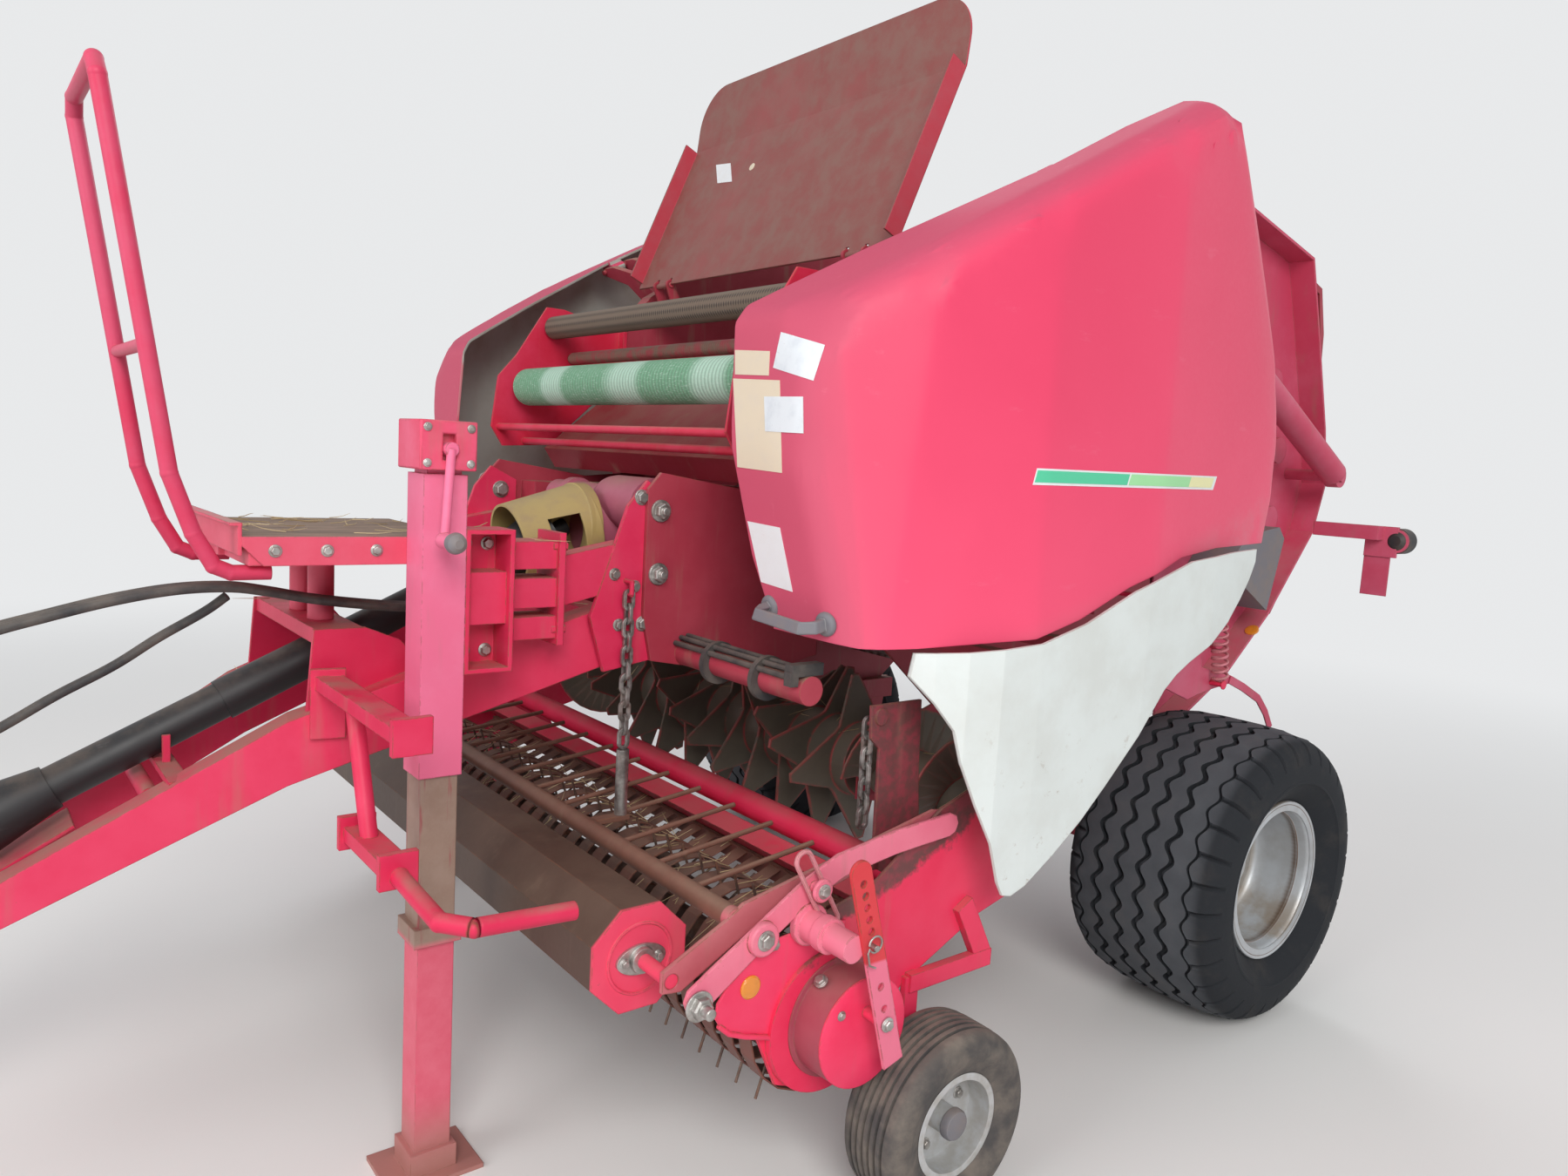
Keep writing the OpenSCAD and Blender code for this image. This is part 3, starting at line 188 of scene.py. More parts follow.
def machine_paint(name, base, faded, dust=0.5, wear=0.5, grime=0.3, rough=0.42, shape=None):
    """Old machine paint: faded in patches, painted shade on what faces down, dust on what faces up, worn edges
    and rust specks.
    """
    f = Finish(name)
    edge, soft = f.edge()
    nz = f.facing("Z")
    broad, patch, fine = f.noise(1.3, 4), f.noise(9, 5, 0.62), f.noise(70, 4, 0.6)
    colour = f.mix(base, faded, (broad * 0.6 + patch * 0.4).step(0.36, 0.66) * 0.65)
    # Painted shade: what faces down takes a darker copy of the base colour
    colour = f.mix(colour, tuple(0.45 * c for c in base), (1 - nz.step(-0.9, 0.2)) * 0.35)
    if shape:
        colour = shape(f, colour)
    streak = f.noise(14, 4, 0.6, stretch=(1.0, 1.0, 0.12)).step(0.56, 0.78) * grime
    colour = f.mix(colour, DUST, streak)
    lying = nz.step(0.35, 0.95) * (patch * 0.55 + broad * 0.45).step(0.3, 0.62) * dust
    chips = (edge * 14.0).least(1.0) * f.noise(38, 4, 0.7).step(0.42, 0.56) * wear
    specks = f.noise(120, 3, 0.7).step(0.7, 0.76) * patch.step(0.46, 0.62) * wear
    colour = f.mix(colour, DUST, lying)
    colour = f.mix(colour, RUST, chips.most(specks))
    dull = rough + lying * 0.4 + chips * 0.35 + fine * 0.12
    return f.done(colour, dull, fine * 0.5 + patch * 0.5, 0.12, 0.0012, soft, specular_ior_level=0.35)


def worn_steel(name, base, dark, rough=0.35, rust=0.4, metal=0.85):
    """Steel with darker areas and patches of rust that lose their shine."""
    f = Finish(name)
    edge, soft = f.edge(0.002)
    patch, fine = f.noise(12, 5, 0.65), f.noise(160, 3)
    rusty = patch.step(0.5, 0.72) * rust
    colour = f.mix(f.mix(dark, base, f.noise(40, 4).step(0.3, 0.7)), RUST, rusty)
    return f.done(colour, rough + rusty * 0.5 + fine * 0.1, fine, 0.15, 0.0006, soft,
                  metallic=(1 - rusty) * metal)


def plain_rubber(name, base=(0.022, 0.022, 0.024), dust=0.35, rough=0.72):
    """Black rubber, greyer where dust lies."""
    f = Finish(name)
    nz = f.facing("Z")
    patch, fine = f.noise(14, 5, 0.6), f.noise(220, 3)
    grey = patch.step(0.3, 0.75) * dust + nz.step(0.3, 1.0) * dust * 0.5
    colour = f.mix(base, (0.21, 0.175, 0.145), grey.least(0.85))
    return f.done(colour, rough + fine * 0.15, fine, 0.25, 0.0006)


def from_axle(f):
    """Distance from the main wheels' axis."""
    x, z = f.axes("XZ")
    return ((x + AHEAD) ** 2.0 + (z - AXLE_Z) ** 2.0) ** 0.5


def tread_rubber():
    """Main tyres: black walls, a dusty grey-blue tread and dark grooves."""
    f = Finish("tyre_tread_rubber")
    patch, fine = f.noise(11, 5, 0.6), f.noise(200, 3)
    top = (1 - f.facing("Y").size().step(0.30, 0.75)) * from_axle(f).step(0.405, 0.426)
    colour = f.mix((0.016, 0.018, 0.022), (0.088, 0.094, 0.106), top * (0.5 + 0.7 * patch))
    colour = f.mix(colour, (0.10, 0.083, 0.070), (patch.step(0.5, 0.8) * 0.22))
    return f.done(colour, 0.76 + fine * 0.15, fine, 0.2, 0.0006, specular_ior_level=0.3)


def sticker(name, colour, worn=(0.62, 0.55, 0.50), dirt_and_shadow=0.25, glossy=0.45):
    """Printed film or paper: slightly stained, scuffed in spots."""
    f = Finish(name)
    patch, fine = f.noise(24, 5, 0.6), f.noise(300, 3)
    tone = f.mix(colour, worn, patch.step(0.42, 0.75) * dirt_and_shadow)
    tone = f.mix(tone, DUST, f.noise(90, 4, 0.7).step(0.66, 0.76) * dirt_and_shadow)
    return f.done(tone, glossy + patch * 0.15, fine, 0.05, 0.0003)


def lens(name, colour):
    """Clear coloured plastic with fine prisms behind it."""
    f = Finish(name)
    y, z = f.axes("YZ")
    rings = ((y * 900.0).wave() * (z * 900.0).wave()) * 0.5 + 0.5
    patch = f.noise(30, 4)
    return f.done(f.mix(colour, tuple(0.5 * c for c in colour), patch.step(0.4, 0.7) * 0.5),
                  0.2, rings, 0.3, 0.0008, coat_weight=0.6, coat_roughness=0.15)


def straw():
    f = Finish("dry_grass")
    broad, fine = f.noise(6, 3), f.noise(60, 4)
    return f.done(f.mix((0.42, 0.31, 0.17), (0.62, 0.50, 0.30), broad.step(0.35, 0.65)),
                  0.75, fine, 0.2, 0.0004)


def moulded(name, base, dust=0.3, rough=0.5, spot=(0.6, 0.6, 0.58)):
    """Moulded plastic with a fine grain, dusty on top and rubbed at its edges."""
    f = Finish(name)
    edge, soft = f.edge(0.003)
    nz = f.facing("Z")
    patch, fine = f.noise(11, 5, 0.6), f.noise(260, 2)
    colour = f.mix(base, DUST, patch.step(0.42, 0.75) * dust + nz.step(0.4, 1.0) * dust * 0.5)
    colour = f.mix(colour, spot, (edge * 5.0).least(1.0) * 0.25)
    return f.done(colour, rough + patch * 0.2, fine, 0.15, 0.0004, soft)


def cover_paint(name, side):
    """The moulded side cover: paler and pinker low and in front, with painted shade on its front face and on
    what faces up, pale inside.
    """
    f = Finish(name)
    soft = f.edge(0.004)[1]
    x, z = f.axes("XZ")
    nx, nz = f.facing("XZ")
    broad, patch, fine = f.noise(0.9, 4, 0.5), f.noise(6, 5, 0.6), f.noise(90, 3)
    # Paler and pinker towards the bottom, unevenly
    paler_low = (z * -0.55 + 1.15 + (broad - 0.5) * 1.2).step(-0.15, 0.75)
    colour = f.mix((0.72, 0.048, 0.125), (0.88, 0.085, 0.185), paler_low)
    # Painted shade: the front face takes a darker copy of the red
    front = nx.step(0.25, 0.85)
    colour = f.mix(colour, (0.50, 0.085, 0.145), front * 0.75)
    # Painted shade: what faces up takes a darker copy of the red, in patches
    top = nz.step(0.25, 0.8)
    colour = f.mix(colour, (0.50, 0.075, 0.14), top * (0.45 + 0.4 * patch))
    low_edge = 1 - (z - (x + AHEAD) * -0.3).step(1.50, 1.62)
    colour = f.mix(colour, (0.62, 0.22, 0.26), low_edge * patch.step(0.35, 0.6) * 0.35)
    rub = f.noise(22, 5, 0.7, stretch=(0.25, 1.0, 1.0)).step(0.62, 0.75) * 0.18
    colour = f.mix(colour, (0.82, 0.26, 0.35), rub * 0.7)
    # The side that faces the machine is unpainted and dusty
    inner_point = tuple(at(0.75, side * 0.75, 1.8))
    inward = f.node("VectorMath", dict(operation="DOT_PRODUCT"),
                    {0: f.place() - inner_point, 1: f.node("TexCoord", out=1)}, 1)
    inside = 1 - inward.step(-0.02, 0.02)
    pale = f.mix((0.44, 0.46, 0.42), (0.30, 0.25, 0.19), patch.step(0.35, 0.75) * 0.7)
    colour = f.mix(colour, pale, inside)
    return f.done(colour, 0.40 + top * 0.2 + front * 0.12 + fine * 0.12, fine * 0.3 + patch,
                  0.08, 0.0015, soft, specular_ior_level=0.38)


def fender_paint():
    """Cream plastic: a painted grey shadow on top, splashed with dirt low down."""
    f = Finish("fender_cream")
    edge, soft = f.edge(0.004)
    z, nz = f.axes("Z"), f.facing("Z")
    patch, fine = f.noise(7, 5, 0.6), f.noise(110, 3)
    colour = f.mix((0.70, 0.75, 0.74), (0.60, 0.62, 0.59), patch.step(0.35, 0.7) * 0.45)
    # Painted shadow under the cover's edge: greyer on what faces up and a little higher up, in patches
    colour = f.mix(colour, (0.33, 0.29, 0.26), (z.step(0.45, 1.2) * 0.1 + nz.step(0.2, 0.9) * 0.5) * patch)
    splash = f.noise(26, 5, 0.7).step(0.6, 0.72) * (1 - z.step(0.75, 1.15)) * 0.6
    colour = f.mix(colour, (0.30, 0.22, 0.15), splash)
    colour = f.mix(colour, (0.36, 0.30, 0.24), (edge * 4.0).least(0.5))
    return f.done(colour, 0.42 + patch * 0.2, fine, 0.06, 0.0008, soft)


def hood_paint():
    """The hood's inner face under a brown film of dust with water runs, red elsewhere."""
    f = Finish("hood_sheet_paint")
    soft = f.edge()[1]
    nx = f.facing("X")
    broad, patch, fine = f.noise(2.2, 5, 0.6), f.noise(13, 6, 0.66), f.noise(120, 4)
    red = f.mix(RED, (0.50, 0.07, 0.11), patch)
    film = f.mix((0.18, 0.065, 0.052), (0.20, 0.115, 0.092), patch.step(0.3, 0.7))
    film = f.mix(film, (0.27, 0.075, 0.072), broad.step(0.5, 0.72) * 0.6)
    spots = f.cells(260).step(0.0, 0.09)
    film = f.mix(film, (0.16, 0.06, 0.05), (1 - spots) * 0.5)
    run = f.noise(20, 4, 0.6, stretch=(1, 1, 0.06)).step(0.55, 0.7)
    film = f.mix(film, (0.20, 0.07, 0.055), run * 0.35)
    colour = f.mix(red, film, nx.step(-0.1, 0.25) * (0.78 + patch * 0.2))
    return f.done(colour, 0.5 + patch * 0.25, fine + patch, 0.1, 0.001, soft)


def deck_paint():
    """The platform: weathered boards between red rails."""
    f = Finish("platform_deck_and_rails")
    edge, soft = f.edge()
    x, y, z = f.axes()
    nz = f.facing("Z")
    patch, fine = f.noise(16, 5, 0.65), f.noise(130, 4)
    grain = f.noise(30, 5, 0.6, stretch=(0.12, 1.0, 1.0))
    wood = f.mix((0.27, 0.19, 0.14), (0.15, 0.105, 0.08), grain.step(0.35, 0.7))
    wood = f.mix(wood, (0.34, 0.25, 0.19), patch.step(0.5, 0.75) * 0.6)
    joint = ((y * 9.0).part() - 0.5).size().step(0.485, 0.497)
    wood = f.mix(wood, (0.05, 0.04, 0.035), joint * 0.8)
    red = f.mix((0.66, 0.045, 0.10), (0.74, 0.12, 0.19), patch)
    red = f.mix(red, DUST, nz.step(0.3, 0.9) * patch.step(0.3, 0.6) * 0.7)
    red = f.mix(red, RUST, (edge * 6.0).least(1.0) * f.noise(45, 4, 0.7).step(0.46, 0.6) * 0.6)
    boards = z.step(1.3445, 1.3455) * (1 - y.step(0.4465, 0.4475)) * (1 - x.step(1.4165, 1.4175))
    return f.done(f.mix(red, wood, boards), 0.5 + boards * 0.35, grain * boards + fine * 0.4,
                  0.3, 0.001, soft)


def net_paint():
    """A knitted net in its roll: pale and green bands, with the knit as fine ribs."""
    f = Finish("net_on_roll")
    y = f.axes("Y")
    knit = (y * 420.0).wave() * 0.5 + 0.5
    broad = f.noise(3, 3, where=f.node("CombineXYZ", None, {1: y}))
    band = ((y + 0.06) * 2.4 + broad * 0.35).part()
    green = f.mix((0.16, 0.36, 0.22), (0.42, 0.62, 0.50), band.step(0.25, 0.38) * (1 - band.step(0.62, 0.72)))
    thread = f.noise(300, 3, 0.7, stretch=(1, 0.2, 1))
    colour = f.mix(green, (0.60, 0.74, 0.64), thread.step(0.5, 0.72) * 0.55)
    colour = f.mix(colour, (0.07, 0.10, 0.075), (1 - knit.step(0.1, 0.5)) * 0.35)
    ends = y.size().step(0.598, 0.603)
    colour = f.mix(colour, (0.42, 0.05, 0.05), ends)
    return f.done(colour, 0.62, knit + thread, 0.5, 0.0015)


def net_roller_paint():
    """Old brown net on the upper roller, worn red paint below it."""
    f = Finish("old_net_on_roller")
    y, z = f.axes("YZ")
    weave = ((y * 300.0 + z * 160).wave() * (y * 300.0 - z * 160).wave()).step(-0.2, 0.7)
    patch = f.noise(20, 5)
    upper = z.step(1.90, 1.905)
    brown = f.mix((0.16, 0.115, 0.085), (0.06, 0.042, 0.033), weave)
    red = f.mix((0.36, 0.06, 0.07), (0.22, 0.12, 0.09), patch.step(0.4, 0.6))
    return f.done(f.mix(red, brown, upper), 0.7, weave + patch, 0.5, 0.002)


def shaft_plastic():
    """Black guard tube with long scuffs and dust on top."""
    f = Finish("shaft_guard_plastic")
    nz = f.facing("Z")
    patch, fine = f.noise(10, 5, 0.65), f.noise(180, 3)
    scuff = f.noise(34, 5, 0.7, stretch=(0.3, 1, 1)).step(0.62, 0.74)
    colour = f.mix((0.018, 0.018, 0.02), (0.075, 0.075, 0.08), scuff * 0.7)
    colour = f.mix(colour, (0.16, 0.12, 0.095), nz.step(0.3, 0.95) * patch.step(0.4, 0.7) * 0.5)
    return f.done(colour, 0.36 + patch * 0.3, fine, 0.12, 0.0006)


def jack_tube_paint():
    """Inner tube bare and brown where it slides, red below."""
    f = Finish("jack_inner_tube")
    edge, soft = f.edge()
    z = f.axes("Z")
    patch, fine = f.noise(22, 5, 0.65), f.noise(150, 3)
    worn = f.mix((0.24, 0.14, 0.10), (0.36, 0.26, 0.21), patch)
    worn = f.mix(worn, (0.30, 0.05, 0.06), f.noise(40, 4, 0.6, stretch=(1, 1, 0.1)).step(0.55, 0.68) * 0.8)
    red = f.mix((0.66, 0.06, 0.12), (0.78, 0.17, 0.24), patch)
    red = f.mix(red, DUST, (1 - z.step(0.02, 0.2)) * 0.7)
    red = f.mix(red, RUST, (edge * 6.0).least(1.0) * patch.step(0.45, 0.6) * 0.7)
    colour = f.mix(red, worn, z.step(0.515, 0.535))
    return f.done(colour, 0.5, fine, 0.15, 0.0008, soft)


def rotor_shape(f, colour):
    """Dull bare steel with red left near the edges of the stars."""
    edge = f.edge(0.012)[0]
    patch = f.noise(9, 5, 0.65)
    dark = f.mix((0.095, 0.085, 0.068), (0.17, 0.145, 0.11), patch)
    return f.mix(dark, colour, (edge * 9.0).least(1.0) * f.noise(17, 4, 0.7).step(0.35, 0.6) * 0.75)


def bar_shape(f, colour):
    """Pink below the locking pin, where the bar is less worn."""
    return f.mix((0.78, 0.17, 0.27), colour, f.axes("Z").step(0.622, 0.630))


def press_shape(f, colour):
    """Brown film on the roller's barrel, clean paint on its end discs."""
    patch = f.noise(5, 5, 0.65)
    film = f.mix((0.060, 0.034, 0.024), (0.105, 0.068, 0.050), patch)
    return f.mix(film, colour, f.axes("Y").size().step(0.950, 0.9585))


def pickup_shape(f, colour):
    """A painted shadow, dark and mottled with a darker copy of the red, on the upper rear of the pickup's side
    plates.
    """
    x, z = f.axes("XZ")
    patch = f.noise(9, 5, 0.7)
    # Painted shadow above a sloping line, mottled with a darker copy of the red
    shadowed = ((z - 0.690 - (x + AHEAD - 1.42) * -0.42 + (patch - 0.5) * 0.16).step(-0.004, 0.022)
             * (x + AHEAD).step(1.16, 1.24))
    dirt_and_shadow = f.mix((0.085, 0.050, 0.045), (0.20, 0.045, 0.055), f.noise(34, 5, 0.7).step(0.4, 0.62))
    return f.mix(colour, dirt_and_shadow, shadowed * 0.92)


def main_rim_paint():
    """Silver paint: a brown line in the step of the rim, tan dust on the disc and low down."""
    f = Finish("main_rim_silver")
    ny, nz = f.facing("YZ")
    reach = from_axle(f)
    patch, fine = f.noise(9, 5, 0.6), f.noise(140, 3)
    colour = f.mix((0.52, 0.55, 0.58), (0.43, 0.44, 0.45), patch.step(0.35, 0.7))
    disc = (1 - reach.step(0.182, 0.190)) * ny.size().step(0.5, 0.8)
    colour = f.mix(colour, f.mix((0.35, 0.32, 0.28), (0.27, 0.22, 0.165), patch.step(0.4, 0.65)), disc * 0.75)
    colour = f.mix(colour, (0.33, 0.25, 0.17), nz.step(0.2, 0.9) * patch.step(0.35, 0.65) * 0.75)
    line = reach.between(0.1945, 0.1978, 0.0006) + reach.between(0.2228, 0.2252, 0.0005)
    colour = f.mix(colour, (0.13, 0.075, 0.045), line.least(1.0) * (0.45 + patch * 0.7))
    return f.done(colour, 0.36 + disc * 0.25 + fine * 0.1, fine, 0.08, 0.0005, metallic=0.35)


def guard_shape(f, colour):
    """Rusty pipe and rods between painted arms."""
    patch = f.noise(26, 5, 0.7)
    pipe = f.mix((0.24, 0.105, 0.075), (0.14, 0.07, 0.05), patch)
    return f.mix(pipe, colour, f.axes("Y").size().step(1.049, 1.051))


# Each finish by a short word: name, two paint colours, dust, wear and grime
paints = {
    "red": machine_paint("machine_red", RED, PINK, 0.55, 0.6, 0.25),
    "chamber": machine_paint("chamber_red_dusty", (0.36, 0.03, 0.055), (0.46, 0.07, 0.10), 0.8, 0.6, 0.5),
    "dark": machine_paint("panel_dark_red", (0.30, 0.02, 0.035), (0.40, 0.045, 0.07), 0.55, 0.5, 0.4),
    "drawbar": machine_paint("drawbar_red", (0.66, 0.018, 0.078), (0.76, 0.062, 0.145), 0.75, 0.75, 0.3),
    "jack": machine_paint("jack_pink_red", (0.80, 0.15, 0.28), (0.88, 0.26, 0.43), 0.3, 0.6, 0.35),
    "jack_head": machine_paint("jack_head_worn_paint", (0.74, 0.06, 0.14), (0.84, 0.20, 0.32), 0.5, 1.0, 0.5),
    "purple": machine_paint("gearbox_purple_red", (0.40, 0.10, 0.16), (0.52, 0.17, 0.23), 0.5, 0.35, 0.3),
    "yellow": moulded("cone_yellow", (0.44, 0.33, 0.12), 0.55, 0.5, (0.55, 0.45, 0.25)),
    "rail": machine_paint("handrail_red", (0.62, 0.025, 0.085), (0.62, 0.10, 0.19), 0.2, 0.35, 0.15),
    "tail": machine_paint("tailgate_red", (0.58, 0.060, 0.125), (0.66, 0.16, 0.25), 0.5, 0.5, 0.35),
    "pickup": machine_paint("pickup_red", (0.78, 0.014, 0.075), (0.86, 0.060, 0.14), 0.35, 0.6, 0.25,
                            shape=pickup_shape),
    "bright": machine_paint("pickup_bright_red", (0.82, 0.020, 0.090), (0.90, 0.080, 0.18), 0.2, 0.6, 0.2),
    "arm": machine_paint("wind_guard_arm_pink", (0.76, 0.14, 0.23), (0.84, 0.24, 0.33), 0.2, 0.9, 0.4),
    "band": machine_paint("drum_band_dusty", (0.33, 0.045, 0.075), (0.42, 0.10, 0.13), 0.3, 0.5, 0.45),
    "guard": machine_paint("wind_guard_paint", (0.50, 0.10, 0.13), (0.60, 0.20, 0.22), 0.45, 0.7, 0.4,
                           shape=guard_shape),
    "press": machine_paint("press_roller_paint", (0.80, 0.045, 0.115), (0.84, 0.09, 0.16), 0.2, 0.7, 0.2,
                           shape=press_shape),
    "rotor": machine_paint("rotor_paint", (0.60, 0.04, 0.06), (0.66, 0.10, 0.12), 0.1, 0.3, 0.2,
                           shape=rotor_shape),
    "bar": machine_paint("adjusting_bar_paint", (0.62, 0.035, 0.045), (0.72, 0.055, 0.07), 0.2, 0.8, 0.3,
                         shape=bar_shape),
    "bands": machine_paint("stripper_paint", (0.13, 0.09, 0.075), (0.30, 0.06, 0.05), 0.5, 0.8, 0.5, 0.5),
    "rollers": worn_steel("roller_steel", (0.42, 0.40, 0.38), (0.16, 0.12, 0.10), 0.34, 0.5),
    "reel": worn_steel("reel_brown_steel", (0.20, 0.13, 0.10), (0.10, 0.06, 0.05), 0.5, 0.8, 0.5),
    "chain": worn_steel("chain_steel", (0.46, 0.45, 0.43), (0.20, 0.18, 0.17), 0.36, 0.35),
    "zinc": worn_steel("zinc_bolts", (0.55, 0.54, 0.52), (0.30, 0.28, 0.26), 0.34, 0.25),
    "chrome": worn_steel("rod_chrome", (0.70, 0.71, 0.73), (0.60, 0.60, 0.61), 0.12, 0.0, 1.0),
    "rubber": plain_rubber("tyre_rubber"),
    "hose": plain_rubber("hose_rubber", (0.030, 0.030, 0.033), 0.45, 0.55),
    "rim": worn_steel("rim_silver_paint", (0.56, 0.57, 0.58), (0.47, 0.46, 0.44), 0.40, 0.08, 0.45),
    "main_rim": main_rim_paint(),
    "grey": moulded("grey_plastic", (0.17, 0.165, 0.185), 0.35, 0.5),
    "black": moulded("black_plastic", (0.02, 0.02, 0.022), 0.3, 0.45, (0.2, 0.2, 0.2)),
    "shaft": shaft_plastic(),
    "left": cover_paint("left_cover_red", 1),
    "right": cover_paint("right_cover_red", -1),
    "fender": fender_paint(),
    "hood": hood_paint(),
    "deck": deck_paint(),
    "net": net_paint(),
    "net_roller": net_roller_paint(),
    "tube": jack_tube_paint(),
    "tread": tread_rubber(),
    "gauge_rubber": plain_rubber("gauge_tyre_rubber", (0.06, 0.055, 0.055), 0.75, 0.75),
    "cream": sticker("blank_cream_plate", (0.70, 0.60, 0.46)),
    "white": sticker("blank_white_film", (0.76, 0.78, 0.80), dirt_and_shadow=0.15),
    "paper": sticker("blank_taped_paper", (0.70, 0.74, 0.78), (0.50, 0.54, 0.60), 0.5, 0.35),
    "stripe_green": sticker("stripe_green_film", (0.085, 0.55, 0.32), (0.12, 0.60, 0.38)),
    "stripe_pale": sticker("stripe_pale_green_film", (0.33, 0.70, 0.34), (0.40, 0.74, 0.42)),
    "stripe_yellow": sticker("stripe_yellow_film", (0.78, 0.76, 0.42), (0.74, 0.72, 0.50)),
    "spring": machine_paint("spring_paint", (0.62, 0.16, 0.22), (0.70, 0.34, 0.36), 0.3, 0.7, 0.3),
    "lens_red": lens("red_lamp_lens", (0.55, 0.02, 0.02)),
    "lens_amber": lens("amber_reflector", (0.75, 0.26, 0.02)),
    "straw": straw(),
}

# The finish that each node of the frame gets
wears = {
    "chassis": "chamber", "front_rollers": "rollers", "front_panel": "dark", "gearbox": "purple",
    "pto_cone": "yellow", "pto_shaft": "shaft", "drawbar": "drawbar", "net_box": "red", "net_roll": "net",
    "net_rollers": "net_roller", "platform": "deck", "handrail": "rail", "steps": "drawbar",
    "jack_case": "jack", "jack_leg": "tube", "shield_left": "left", "shield_right": "right", "hood": "hood",
    "tailgate_frame": "tail", "tailgate_skin": "chamber", "tailgate_rollers": "rollers",
    "light_bars": "tail", "wheel_chocks": "grey",
    "pickup_frame": "pickup", "strippers": "bands", "pickup_reel": "reel", "wind_guard": "guard",
    "press_roller": "press", "feed_rotor": "rotor", "auger_flights": "rotor", "lift_chain": "chain",
    "side_chains": "chain", "drawbar_hoses": "hose", "grease_lines": "hose",
}
for pair, finish in {"fender": "fender", "cylinder_barrel": "tail", "cylinder_rod": "chrome",
                     "tyre": "rubber", "rim": "main_rim", "gauge_tyre": "rubber", "gauge_rim": "rim"}.items():
    wears[pair + "_left"] = wears[pair + "_right"] = finish
for node, o in NODES.items():
    o.data.materials.clear()
    o.data.materials.append(paints[wears[node]])


# pieces: mesh code, measured from the ground under the axle
EYE = at(3.06, 2.669, 1.568)
VIEW_AXES = [Vector(v).normalized()
             for v in ((-0.785, 0.617, 0.056), (0.029, 0.127, -0.992), (-0.619, -0.776, -0.117))]
FOCAL, MIDDLE = 1250.0, (900.0, 675.0)


def turn(count, start=0.0):
    return [start + 2 * math.pi * i / count for i in range(count)]


